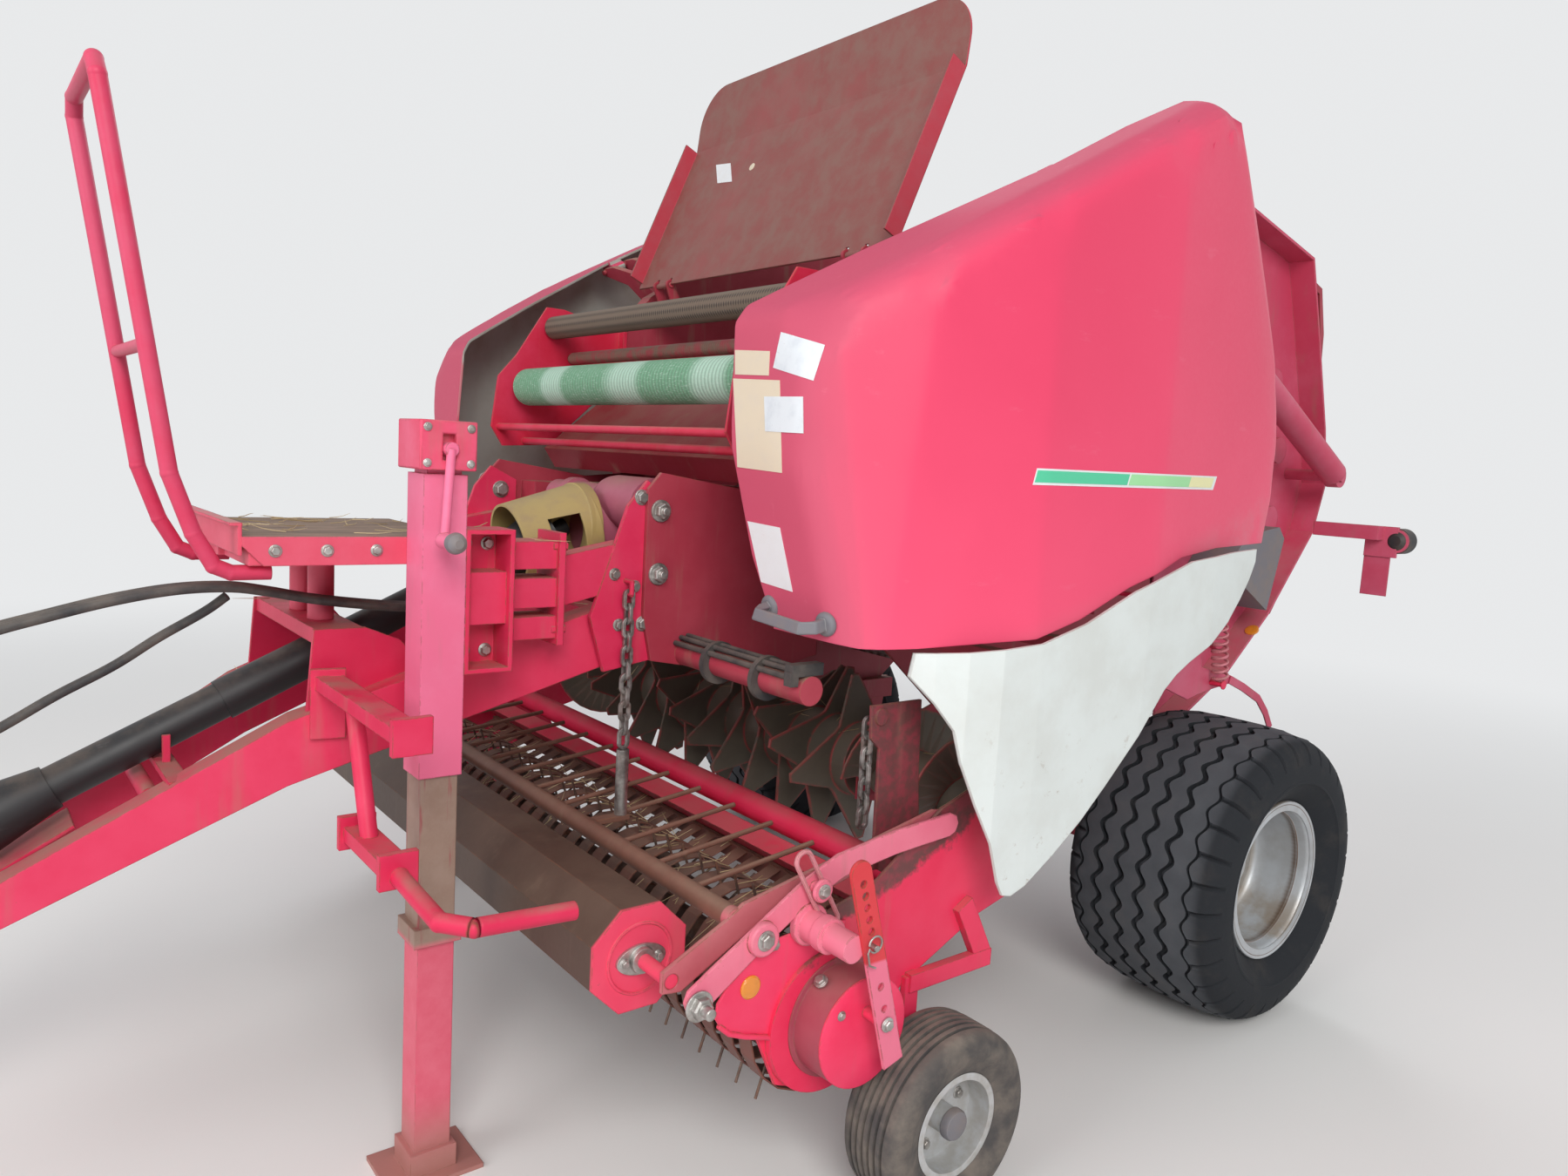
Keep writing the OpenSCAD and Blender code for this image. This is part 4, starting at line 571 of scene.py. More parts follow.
class Form:
    """The mesh of one piece. Its points are in the source's own frame."""

    def __init__(self):
        self.mesh = bmesh.new()

    def skin(self, low, high):
        for i in range(len(low)):
            j = (i + 1) % len(low)
            self.mesh.faces.new((low[i], low[j], high[j], high[i]))

    def loft(self, rings, caps=True):
        made = [[self.mesh.verts.new(at(*p)) for p in ring] for ring in rings]
        for low, high in zip(made, made[1:]):
            self.skin(low, high)
        if caps:
            self.mesh.faces.new(reversed(made[0]))
            self.mesh.faces.new(made[-1])
        return self

    def tube(self, path, radius, sides=10, flat=1.0, start=0.0, side=None):
        """A bar along a path. Flat squeezes its section across the side direction."""
        path = [Vector(p) for p in path]
        side = Vector(side) if side else None
        rings = []
        for i, p in enumerate(path):
            ahead = (path[min(i + 1, len(path) - 1)] - path[max(i - 1, 0)]).normalized()
            side = ahead.orthogonal() if side is None else side
            side = (side - ahead * side.dot(ahead)).normalized()
            up = ahead.cross(side)
            r = radius[i] if isinstance(radius, list) else radius
            rings.append([p + r * (math.cos(a) * side + flat * math.sin(a) * up) for a in turn(sides, start)])
        return self.loft(rings)

    def turned(self, centre, axis, profile, sides=32, start=0.0):
        """A solid of revolution, from pairs of distance along the axis and radius."""
        axis = Vector(axis).normalized()
        side = axis.orthogonal().normalized()
        up = axis.cross(side)
        return self.loft([[Vector(centre) + along * axis + r * (math.cos(a) * side + math.sin(a) * up)
                           for a in turn(sides, start)] for along, r in profile])

    def slab(self, outline, across):
        return self.loft([outline, [Vector(p) + Vector(across) for p in outline]])

    def block(self, low, high):
        (a, b, c), (d, e, g) = low, high
        return self.slab([(a, b, c), (d, b, c), (d, e, c), (a, e, c)], (0, 0, g - c))

    def bolt(self, centre, axis, width, tall):
        """A hexagon head on its washer, turned by an angle of its own."""
        centre, axis = Vector(centre), Vector(axis).normalized()
        washer = [(-0.002, width * 0.78), (0.0018, width * 0.78), (0.0024, width * 0.70)]
        hexagon = [(0.002, 0.577 * width), (tall * 0.82, 0.577 * width), (tall, width * 0.49)]
        self.turned(centre, axis, washer, 20)
        return self.turned(centre, axis, hexagon, 6, (centre.x * 71 + centre.y * 37 + centre.z * 53) % 1.0)

    def cut(self, tool):
        """Takes another form's solids out of this one."""
        pair = []
        for form in (self, tool):
            bmesh.ops.recalc_face_normals(form.mesh, faces=form.mesh.faces)
            data = bpy.data.meshes.new("cutting")
            form.mesh.to_mesh(data)
            pair.append(bpy.data.objects.new("cutting", data))
            SCENE.collection.objects.link(pair[-1])
        step = pair[0].modifiers.new("cut", "BOOLEAN")
        step.object, step.solver, step.operation = pair[1], "EXACT", "DIFFERENCE"
        bpy.context.view_layer.update()
        result = pair[0].evaluated_get(bpy.context.evaluated_depsgraph_get())
        self.mesh.clear()
        self.mesh.from_mesh(bpy.data.meshes.new_from_object(result))
        for o in pair:
            data = o.data
            bpy.data.objects.remove(o)
            bpy.data.meshes.remove(data)
        return self

    def plate(self, y, thick, outline):
        """A flat plate across the machine, from an outline of X and Z."""
        return self.slab([(x, y, z) for x, z in outline], (0, thick, 0))

    def made(self, name, body, finish, slot, sharp=32, bevel=0.0, stands_for=()):
        """Makes the piece, smooth except at edges sharper than so many degrees."""
        bmesh.ops.recalc_face_normals(self.mesh, faces=self.mesh.faces)
        for e in self.mesh.edges:
            e.smooth = len(e.link_faces) != 2 or e.calc_face_angle(0.0) < math.radians(sharp)
        for face in self.mesh.faces:
            face.smooth = True
        data = bpy.data.meshes.new(name)
        self.mesh.to_mesh(data)
        self.mesh.free()
        piece = bpy.data.objects.new(name, data)
        SCENE.collection.objects.link(piece)
        data.materials.append(paints[finish])
        if bevel:
            rounding = piece.modifiers.new("rounded_edges", "BEVEL")
            rounding.width, rounding.segments = bevel, 2
            rounding.limit_method, rounding.angle_limit = "ANGLE", 0.6
        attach(piece, body)
        if stands_for:
            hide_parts(*stands_for)
        return piece


def smooth_path(points, spacing):
    """Points of a Catmull-Rom curve through the given ones, about spacing apart."""
    points = [Vector(p) for p in points]
    padded = [2 * points[0] - points[1]] + points + [2 * points[-1] - points[-2]]
    out = []
    for a, b, c, d in zip(padded, padded[1:], padded[2:], padded[3:]):
        count = max(2, round((c - b).length / spacing))
        for i in range(count):
            t = i / count
            out.append(0.5 * (2 * b + (c - a) * t + (2 * a - 5 * b + 4 * c - d) * t * t
                              + (3 * b - a - 3 * c + d) * t ** 3))
    return out + [points[-1]]


TREES = {}


def sighted(node, u, v):
    """Where the line through a pixel of the photograph's frame meets a node, and the normal there."""
    if node not in TREES:
        data = NODES[node].data
        TREES[node] = BVHTree.FromPolygons([p.co for p in data.vertices], [p.vertices for p in data.polygons])
    line = VIEW_AXES[2] + VIEW_AXES[0] * (u - MIDDLE[0]) / FOCAL + VIEW_AXES[1] * (v - MIDDLE[1]) / FOCAL
    point, normal, _, _ = TREES[node].ray_cast(EYE, line.normalized())
    if point is None:
        return None, None
    if normal.dot(line) > 0:
        normal = -normal
    return point + Vector((AHEAD, 0, 0)), normal


def laid(name, node, corners, finish, lift=0.0004, cells=8):
    """A thin sticker that follows a node's surface, between four corners in the photograph's frame."""
    form, thick = Form(), 0.0008
    top, low = [], []
    a, b, c, d = [Vector(p) for p in corners]
    while any(sighted(node, *p)[0] is None for p in (a, b, c, d)):
        a, b, c, d = [p + Vector((1.5, 0)) for p in (a, b, c, d)]
    for i in range(cells + 1):
        for j in range(cells + 1):
            s, t = i / cells, j / cells
            u, v = (a * (1 - s) + b * s) * (1 - t) + (d * (1 - s) + c * s) * t
            point, normal = sighted(node, u, v)
            top.append(form.mesh.verts.new(at(*(point + normal * (lift + thick)))))
            low.append(form.mesh.verts.new(at(*(point + normal * (lift * 0.2)))))
    row = cells + 1
    for i in range(cells):
        for j in range(cells):
            q = [i * row + j, (i + 1) * row + j, (i + 1) * row + j + 1, i * row + j + 1]
            form.mesh.faces.new([top[k] for k in q])
            form.mesh.faces.new([low[k] for k in reversed(q)])
    rim = [*range(row), *(i * row + cells for i in range(1, row)),
           *(cells * row + j for j in range(cells - 1, -1, -1)), *(i * row for i in range(cells - 1, 0, -1))]
    for p, q in zip(rim, rim[1:] + rim[:1]):
        form.mesh.faces.new((top[p], top[q], low[q], low[p]))
    form.made(name, node, finish, "cream_cover", sharp=60)


def moulded_cover(side, longest=0.036, rounds=20):
    """A side cover: the frame's skin cut finer and smoothed, with its thin rims held."""
    node = "shield_" + side
    cover = Form()
    cover.mesh.from_mesh(NODES[node].data)
    bmesh.ops.remove_doubles(cover.mesh, verts=cover.mesh.verts, dist=2e-5)
    bmesh.ops.dissolve_degenerate(cover.mesh, edges=cover.mesh.edges, dist=1e-5)
    for _ in range(6):
        long = [e for e in cover.mesh.edges if e.calc_length() > longest]
        if not long:
            break
        bmesh.ops.subdivide_edges(cover.mesh, edges=long, cuts=1)
        bmesh.ops.triangulate(cover.mesh, faces=[p for p in cover.mesh.faces if len(p.verts) > 3])
    held = {v for e in cover.mesh.edges if len(e.link_faces) != 2 or e.calc_face_angle(0.0) > 1.1
            for v in e.verts}
    free = [v for v in cover.mesh.verts if v not in held]
    for _ in range(rounds):
        bmesh.ops.smooth_vert(cover.mesh, verts=free, factor=0.5, use_axis_x=True, use_axis_y=True,
                              use_axis_z=True)
    shell = cover.made(f"cover_{side}_shell", node, side, "faded_cover", sharp=50, stands_for=[node])
    TREES[node] = BVHTree.FromPolygons([v.co for v in shell.data.vertices],
                                       [p.vertices for p in shell.data.polygons])


moulded_cover("left")
moulded_cover("right")

SIDES = (("left", 1), ("right", -1))
# Half the track of the main wheels, and the centre of a gauge wheel
HALF_TRACK = 0.995
GAUGE_X, GAUGE_Y, GAUGE_Z = 1.40, 1.205, 0.205

# Main tyres: four wavy grooves, and shoulder blocks between thin slots. Pairs are width and radius.
TYRE_SIDE = [(0.181, 0.2163), (0.190, 0.226), (0.201, 0.242), (0.222, 0.262), (0.2365, 0.286),
             (0.2425, 0.296), (0.2453, 0.298), (0.2453, 0.303), (0.2442, 0.305), (0.2452, 0.329),
             (0.2415, 0.352)]
SHOULDER = [(0.2335, 0.3767), (0.2200, 0.3980), (0.2005, 0.4128), (0.1860, 0.4175)]
GROOVES = (-0.105, -0.035, 0.035, 0.105)
WAVES, STEPS_A_WAVE = 32, 10
# The step of each wave that holds the slot between two shoulder blocks, and the steps beside it
SLOT, LIPS = 8, (7, 9)


def crown(y):
    """Radius of the tread at a distance from the tyre's middle."""
    return 0.4325 - 0.0042 * (abs(y) / 0.128) ** 2 - 0.012 * max(0.0, (abs(y) - 0.128) / 0.075) ** 2


def tread_rows():
    """Across the tread: place, radius, how far the row waves, and 0 because it has no shoulder block."""
    rows = []
    cuts = [(0.171, 0.0042, 0.010, -0.009), *((g, 0.0088, 0.016, 0.0125) for g in reversed(GROOVES)),
            (-0.171, 0.0042, 0.010, 0.009)]
    for groove, half, deep, swing in cuts:
        top = crown(groove)
        rows += [(groove + half, top, swing, 0.0), (groove + half * 0.62, top - deep, swing, 0.0),
                 (groove - half * 0.62, top - deep, swing, 0.0), (groove - half, top, swing, 0.0)]
    return rows


def closed_ring(rings):
    """A ring-shaped skin: the last of its rings joins the first."""
    form = Form().loft(rings, caps=False)
    form.mesh.verts.ensure_lookup_table()
    count = len(rings[0])
    last = (len(rings) - 1) * count
    form.skin(form.mesh.verts[last:last + count], form.mesh.verts[0:count])
    return form


def main_tyre(name, centre_y, node, body):
    steps = STEPS_A_WAVE * WAVES
    rows = [(y, r, 0.0, 0.0) for y, r in TYRE_SIDE]
    rows += [(y, r, 0.0, k + 1) for k, (y, r) in enumerate(SHOULDER)]
    rows += tread_rows()
    rows += [(-y, r, 0.0, -k - 1) for k, (y, r) in reversed(list(enumerate(SHOULDER)))]
    rows += [(-y, r, 0.0, 0.0) for y, r in reversed(TYRE_SIDE)]
    rings = []
    for y, r, swing, lug in rows:
        ring = []
        for i, a in enumerate(turn(steps)):
            y1, r1 = y + swing * math.sin(2 * math.pi * i * WAVES / steps), r
            in_block = (i + (STEPS_A_WAVE // 2 if lug < 0 else 0)) % STEPS_A_WAVE
            if lug and in_block == SLOT:
                y1, r1 = y1 * 0.975, r - 0.0085
            elif lug and in_block in LIPS:
                r1 = r + 0.001
            ring.append((r1 * math.cos(a), centre_y + y1, AXLE_Z + r1 * math.sin(a)))
        rings.append(ring)
    closed_ring(rings).made(name, body, "tread", "tyre_rubber", sharp=28, stands_for=[node])


# Inside of the main rim, from the rolled lip down to the disc
RIM_INSIDE = [(0.2034, 0.2335), (0.2050, 0.2325), (0.2054, 0.2295), (0.2040, 0.2262), (0.2033, 0.2240),
              (0.2036, 0.2215), (0.2034, 0.2150), (0.2018, 0.2095), (0.1975, 0.2045), (0.1880, 0.2015),
              (0.1760, 0.2000), (0.1700, 0.1985), (0.1685, 0.1950), (0.1660, 0.1945), (0.1620, 0.1950),
              (0.1300, 0.1930), (0.0750, 0.1905), (0.0500, 0.1870), (0.0390, 0.1790), (0.0340, 0.1720),
              (0.0335, 0.2040), (0.0600, 0.2056), (0.2020, 0.2056), (0.2032, 0.2070)]


def main_rim(name, sign, body):
    rings = [[(r * math.cos(a), sign * (HALF_TRACK + y), AXLE_Z + r * math.sin(a)) for a in turn(96)]
             for y, r in RIM_INSIDE]
    closed_ring(rings).made(name, body, "main_rim", "rim_silver", sharp=40)


def gauge_tyre(name, sign, node, body):
    """A small tyre with six straight grooves."""
    rows = [(0.0555, 0.1053), (0.062, 0.112), (0.066, 0.125), (0.076, 0.143), (0.0822, 0.160),
            (0.0818, 0.170), (0.079, 0.182), (0.0745, 0.1905), (0.066, 0.1985)]
    tread = [(0.0605, 0.2015)]
    for groove in (0.045, 0.027, 0.009, -0.009, -0.027, -0.045):
        top = 0.2048 - 0.0027 * (groove / 0.0525) ** 4
        tread += [(groove + 0.0042, top), (groove + 0.0028, top - 0.0065), (groove - 0.0028, top - 0.0065),
                  (groove - 0.0042, top)]
    rows = rows + tread + [(-y, r) for y, r in reversed(rows + tread[:1])]
    rings = [[(GAUGE_X + r * math.cos(a), sign * (GAUGE_Y + y), GAUGE_Z + r * math.sin(a)) for a in turn(96)]
             for y, r in rows]
    closed_ring(rings).made(name, body, "gauge_rubber", "tyre_rubber", sharp=30, stands_for=[node])


for side, sign in SIDES:
    main_wheel, gauge_wheel, out = f"wheel_{side}", f"gauge_wheel_{side}", (0, sign, 0)
    main_tyre(f"main_tyre_{side}", sign * HALF_TRACK, f"tyre_{side}", main_wheel)
    main_rim(f"main_rim_inside_{side}", sign, main_wheel)
    gauge_tyre(f"gauge_tyre_{side}_ribbed", sign, f"gauge_tyre_{side}", gauge_wheel)
    nuts = Form()
    for a in turn(6, 0.3):
        spot = (0.082 * math.cos(a), sign * 1.0148, AXLE_Z + 0.082 * math.sin(a))
        nuts.turned(spot, out, [(0, 0.0075), (0.022, 0.0075), (0.0235, 0.006)], 14)
        nuts.bolt(spot, out, 0.024, 0.014)
    nuts.made(f"wheel_nuts_{side}", main_wheel, "zinc", "rim_silver")
    hub = Form().turned((0, sign * 1.0695, AXLE_Z), out, [
        (0, 0.0495), (0.006, 0.0495), (0.012, 0.046), (0.016, 0.034), (0.018, 0.012)], 36)
    hub.made(f"hub_cap_{side}", main_wheel, "rim", "rim_silver")
    nuts = Form()
    for a in turn(5, 0.2):
        spot = (GAUGE_X + 0.066 * math.cos(a), sign * 1.2108, GAUGE_Z + 0.066 * math.sin(a))
        nuts.bolt(spot, out, 0.017, 0.010)
    nuts.made(f"gauge_wheel_bolts_{side}", gauge_wheel, "zinc", "rim_silver")
    hub = Form().turned((GAUGE_X, sign * 1.2545, GAUGE_Z), out, [
        (-0.004, 0.0335), (0.008, 0.0335), (0.014, 0.030), (0.0175, 0.018), (0.0185, 0.004)], 30)
    hub.made(f"gauge_hub_cap_{side}", gauge_wheel, "grey", "grey_plastic")

# hoses along the drawbar, on the route that the source gives
HOSE_ROUTE = [(1.832, 0.236, 1.196), (1.9, 0.23, 1.186), (2.04, 0.218, 1.18), (2.18, 0.21, 1.182),
              (2.29, 0.206, 1.192), (2.4, 0.205, 1.208), (2.48, 0.205, 1.225), (2.56, 0.205, 1.238),
              (2.66, 0.204, 1.236), (2.77, 0.203, 1.218), (2.88, 0.2, 1.19), (2.98, 0.196, 1.16),
              (3.08, 0.188, 1.11), (3.17, 0.174, 1.04), (3.24, 0.16, 0.95), (3.285, 0.145, 0.85),
              (3.305, 0.11, 0.725), (3.305, 0.11, 0.6403)]
LOW_ROUTE = [(2.56, 0.158, 1.215), (2.6, 0.14, 1.18), (2.68, 0.11, 1.125), (2.76, 0.1, 1.069),
             (2.86, 0.098, 1.015), (2.95, 0.096, 0.96), (3.06, 0.08, 0.895), (3.17, 0.04, 0.84),
             (3.25, -0.005, 0.79), (3.305, -0.04, 0.712), (3.305, -0.04, 0.6403)]
HOSE_GAP, HOSE_FAN, HOSE_DIAMETER = 0.021, (0.0, -0.05, -0.1), 0.0196
FERRULE_Z = 0.6405
FERRULE = [(0, 0.0145), (0.012, 0.0145), (0.0125, 0.0118), (0.045, 0.0118), (0.047, 0.0108)]


def eased(low, high, value):
    """0 at low, 1 at high, with soft ends."""
    t = min(1.0, max(0.0, (value - low) / (high - low)))
    return t * t * (3 - 2 * t)


def hose(name, route):
    points = [at(*p) for p in smooth_path(route, 0.015)]
    line = bpy.data.curves.new(name, "CURVE")
    line.dimensions, line.use_fill_caps = "3D", True
    line.bevel_depth, line.bevel_resolution = HOSE_DIAMETER / 2, 4
    spline = line.splines.new("POLY")
    spline.points.add(len(points) - 1)
    for spot, p in zip(spline.points, points):
        spot.co = (*p, 1.0)
    spline.use_smooth = True
    line.materials.append(paints["hose"])
    piece = bpy.data.objects.new(name, line)
    SCENE.collection.objects.link(piece)
    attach(piece, "frame")
    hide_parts("drawbar_hoses")


ferrules = Form()
for k, fan in enumerate(HOSE_FAN):
    shifted = [(x, y - HOSE_GAP * k + (fan + HOSE_GAP * k) * eased(2.9, 3.29, x), z)
               for x, y, z in HOSE_ROUTE]
    hose(f"drawbar_hose_{k + 1}", shifted)
    ferrules.turned((*shifted[-1][:2], FERRULE_Z), (0, 0, 1), FERRULE, 20)
hose("drawbar_hose_low", LOW_ROUTE)
ferrules.turned((*LOW_ROUTE[-1][:2], FERRULE_Z), (0, 0, 1), FERRULE, 20)
ferrules.made("hose_ferrules", "frame", "zinc", "chain_steel")

# blank plates, papers and the stripe bar on the left cover
for name, corners, finish in (
        ("blank_plate_small", [(839.4, 402.3), (879.2, 403.6), (878.0, 431.7), (839.4, 430.4)], "cream"),
        ("blank_plate_long", [(838.7, 435.1), (892.1, 437.1), (894.6, 543.3), (843.6, 536.6)], "cream"),
        ("blank_plate_low", [(852.3, 598.8), (889.1, 606.2), (903.8, 679.8), (867.7, 668.4)], "white"),
        ("blank_paper_upper", [(896.6, 381.7), (946.8, 396.6), (933.6, 437.6), (887.6, 422.7)], "paper")):
    laid(name, "shield_left", corners, finish)
laid("blank_paper_lower", "shield_left", [(877.7, 455.8), (921.9, 455.8), (922.4, 498.0), (878.9, 495.6)],
     "paper", lift=0.0014)
BAR = [Vector(p) for p in ((1190.1, 537.9), (1396.4, 547.3), (1391.6, 562.8), (1185.0, 557.0))]
laid("stripe_border", "shield_left", BAR, "white", lift=0.0006, cells=24)


def in_bar(s, t):
    """A point of the stripe bar, by its shares along and across."""
    return tuple((BAR[0] * (1 - s) + BAR[1] * s) * (1 - t) + (BAR[3] * (1 - s) + BAR[2] * s) * t)


for colour, low, high in (("stripe_green", 0.006, 0.517), ("stripe_pale", 0.527, 0.858),
                          ("stripe_yellow", 0.8585, 0.985)):
    laid(colour, "shield_left", [in_bar(low, 0.12), in_bar(high, 0.12), in_bar(high, 0.84), in_bar(low, 0.84)],
         colour, lift=0.0017, cells=20)

# handle of the left cover, with its two feet on the skin
near, out_near = sighted("shield_left", 884, 697)
away, out_away = sighted("shield_left", 948, 717)
reach = (out_near + out_away).normalized() * 0.058
grip = [near - reach * 0.05, near + reach * 0.55, near + (away - near) * 0.10 + reach * 0.95,
        near + (away - near) * 0.90 + reach * 0.95, away + reach * 0.55, away - reach * 0.05]
handle = Form().tube(grip, 0.0185, 4, 0.62, math.pi / 4)
for foot, out in ((near, out_near), (away, out_away)):
    handle.turned(foot, out, [(-0.004, 0.026), (0.004, 0.026), (0.010, 0.020)], 20)
handle.made("cover_handle", "shield_left", "grey", "grey_plastic", bevel=0.003)

# coil springs over the main wheels, each hooked on two pins
COIL_TURNS, COIL_R, COIL_STEPS = 9.5, 0.021, 190
coil, pins = Form(), Form()
for sign in (1, -1):
    top, foot = Vector((0.105, sign * 1.0, 1.205)), Vector((0.062, sign * 1.0, 0.982))
    down, out = foot - top, Vector((0, 1, 0))
    across = down.normalized().cross(out)
    helix = []
    for i in range(COIL_STEPS + 1):
        a = i / COIL_STEPS * COIL_TURNS * 2 * math.pi
        helix.append(top + down * (0.06 + 0.88 * i / COIL_STEPS)
                     + COIL_R * (math.cos(a) * out + math.sin(a) * across))
    coil.tube([top + Vector((0, 0, 0.004)), top + down * 0.03] + helix + [top + down * 0.97, foot], 0.0042, 7)
    for x, z in ((0.105, 1.209), (0.062, 0.980)):
        pins.tube([(x, sign * 0.618, z), (x, sign * 1.012, z)], 0.008, 12)
        pins.turned((x, sign * 1.010, z), (0, sign, 0), [(0, 0.014), (0.003, 0.014)], 16)
coil.made("cover_springs", "frame", "spring", "faded_cover")
pins.made("spring_pins", "frame", "pickup", "red_paint")

# rear lamps in their cups
lenses, seats = Form(), Form()
for sign in (1, -1):
    lenses.turned((-1.1095, sign * 0.985, 1.40), (-1, 0, 0),
                  [(-0.004, 0.040), (0.004, 0.040), (0.008, 0.036), (0.0095, 0.028), (0.0105, 0.006)], 32)
    seats.turned((-1.052, sign * 0.985, 1.40), (-1, 0, 0),
                 [(-0.012, 0.020), (0.0, 0.036), (0.006, 0.0455), (0.060, 0.0455), (0.0605, 0.041)], 32)
lenses.made("rear_lamp_lenses", "tailgate", "lens_red", "red_paint")
seats.made("rear_lamp_cups", "tailgate", "black", "black_plastic")

# bolts that hold the big members together
bolts, joint_x = Form(), 1.69
for sign in (1, -1):
    out = (0, sign, 0)
    for z in (1.43, 1.28):
        bolts.turned((joint_x, sign * 0.440, z), out, [(0, 0.0165), (0.034, 0.0165)], 20)
        bolts.turned((joint_x, sign * 0.4668, z), out, [(0, 0.0265), (0.004, 0.0265)], 28)
        bolts.bolt((joint_x, sign * 0.4712, z), out, 0.033, 0.017)
        bolts.turned((joint_x, sign * 0.4860, z), out, [(0, 0.0095), (0.009, 0.0095), (0.011, 0.008)], 16)
        bolts.bolt((joint_x, sign * 0.4432, z), (0, -sign, 0), 0.033, 0.018)
    for x, z, width in ((1.665, 1.345, 0.019), (1.735, 1.46, 0.024), (1.745, 1.25, 0.019),
                        (1.72, 1.16, 0.024), (1.785, 1.16, 0.019), (1.80, 1.28, 0.019)):
        bolts.bolt((x, sign * 0.4552, z), out, width, 0.011)
for x in (2.118, 2.166):
    for z in (1.355, 1.125):
        bolts.bolt((x, 0.4668, z), (0, 1, 0), 0.019, 0.012)
bolts.made("drawbar_bolts", "frame", "zinc", "chain_steel")

# crank knob and slotted head of the jack
Form().turned((2.26, 0.645, 1.372), (0, 1, 0),
              [(-0.012, 0.012), (-0.006, 0.0185), (0.006, 0.0215), (0.018, 0.0185), (0.026, 0.009)], 24).made(
    "jack_knob", "frame", "grey", "grey_plastic")
Form().block((2.184, 0.437, 1.508), (2.300, 0.564, 1.606)).cut(
    Form().block((2.228, 0.545, 1.528), (2.254, 0.585, 1.580))).made(
    "jack_head_box", "frame", "jack_head", "faded_cover", bevel=0.0035)
bolts = Form()
for x in (2.198, 2.286):
    for z in (1.522, 1.592):
        bolts.bolt((x, 0.5642, z), (0, 1, 0), 0.011, 0.005)
bolts.made("jack_head_bolts", "frame", "zinc", "chain_steel")

# ends of the pickup: side lobe, reflector, drum, boss, adjusting bar and stop link
ARM = [(1.996, 0.572), (1.988, 0.594), (1.930, 0.630), (1.873, 0.664), (1.726, 0.753), (1.640, 0.790),
       (1.480, 0.812), (1.317, 0.823), (1.300, 0.815), (1.293, 0.797), (1.300, 0.779), (1.317, 0.771),
       (1.480, 0.760), (1.620, 0.740), (1.700, 0.709), (1.789, 0.655), (1.858, 0.609), (1.936, 0.556),
       (1.966, 0.535), (1.985, 0.545)]
LOBE = [(1.60, 0.640), (1.700, 0.6495), (1.790, 0.640), (1.845, 0.612), (1.890, 0.576), (1.915, 0.545),
        (1.917, 0.515), (1.900, 0.488), (1.868, 0.470), (1.820, 0.458), (1.770, 0.437), (1.735, 0.405),
        (1.705, 0.375), (1.660, 0.420)]
# Where the end parts are pinned, as X and Z
GUARD_PIN, ARM_PIN, STOP_PIN = (1.966, 0.562), (1.826, 0.659), (1.701, 0.736)
BAR_BOSS, DRIVE = (1.708, 0.660), (1.620, 0.445)
BAR_TOP, BAR_FOOT, BAR_HALF, BAR_Y = (1.7095, 0.812), (1.5900, 0.400), 0.025, 1.2480
BAR_HOLES = (0.022, 0.048, 0.074, 0.100, 0.126, 0.250, 0.300)
LOOP_TOP, LOOP_FOOT, LOOP_R = (1.742, 0.800), (1.664, 0.664), 0.0185
lobes, arms, drums, faces, steel, links, lenses = (Form() for _ in range(7))


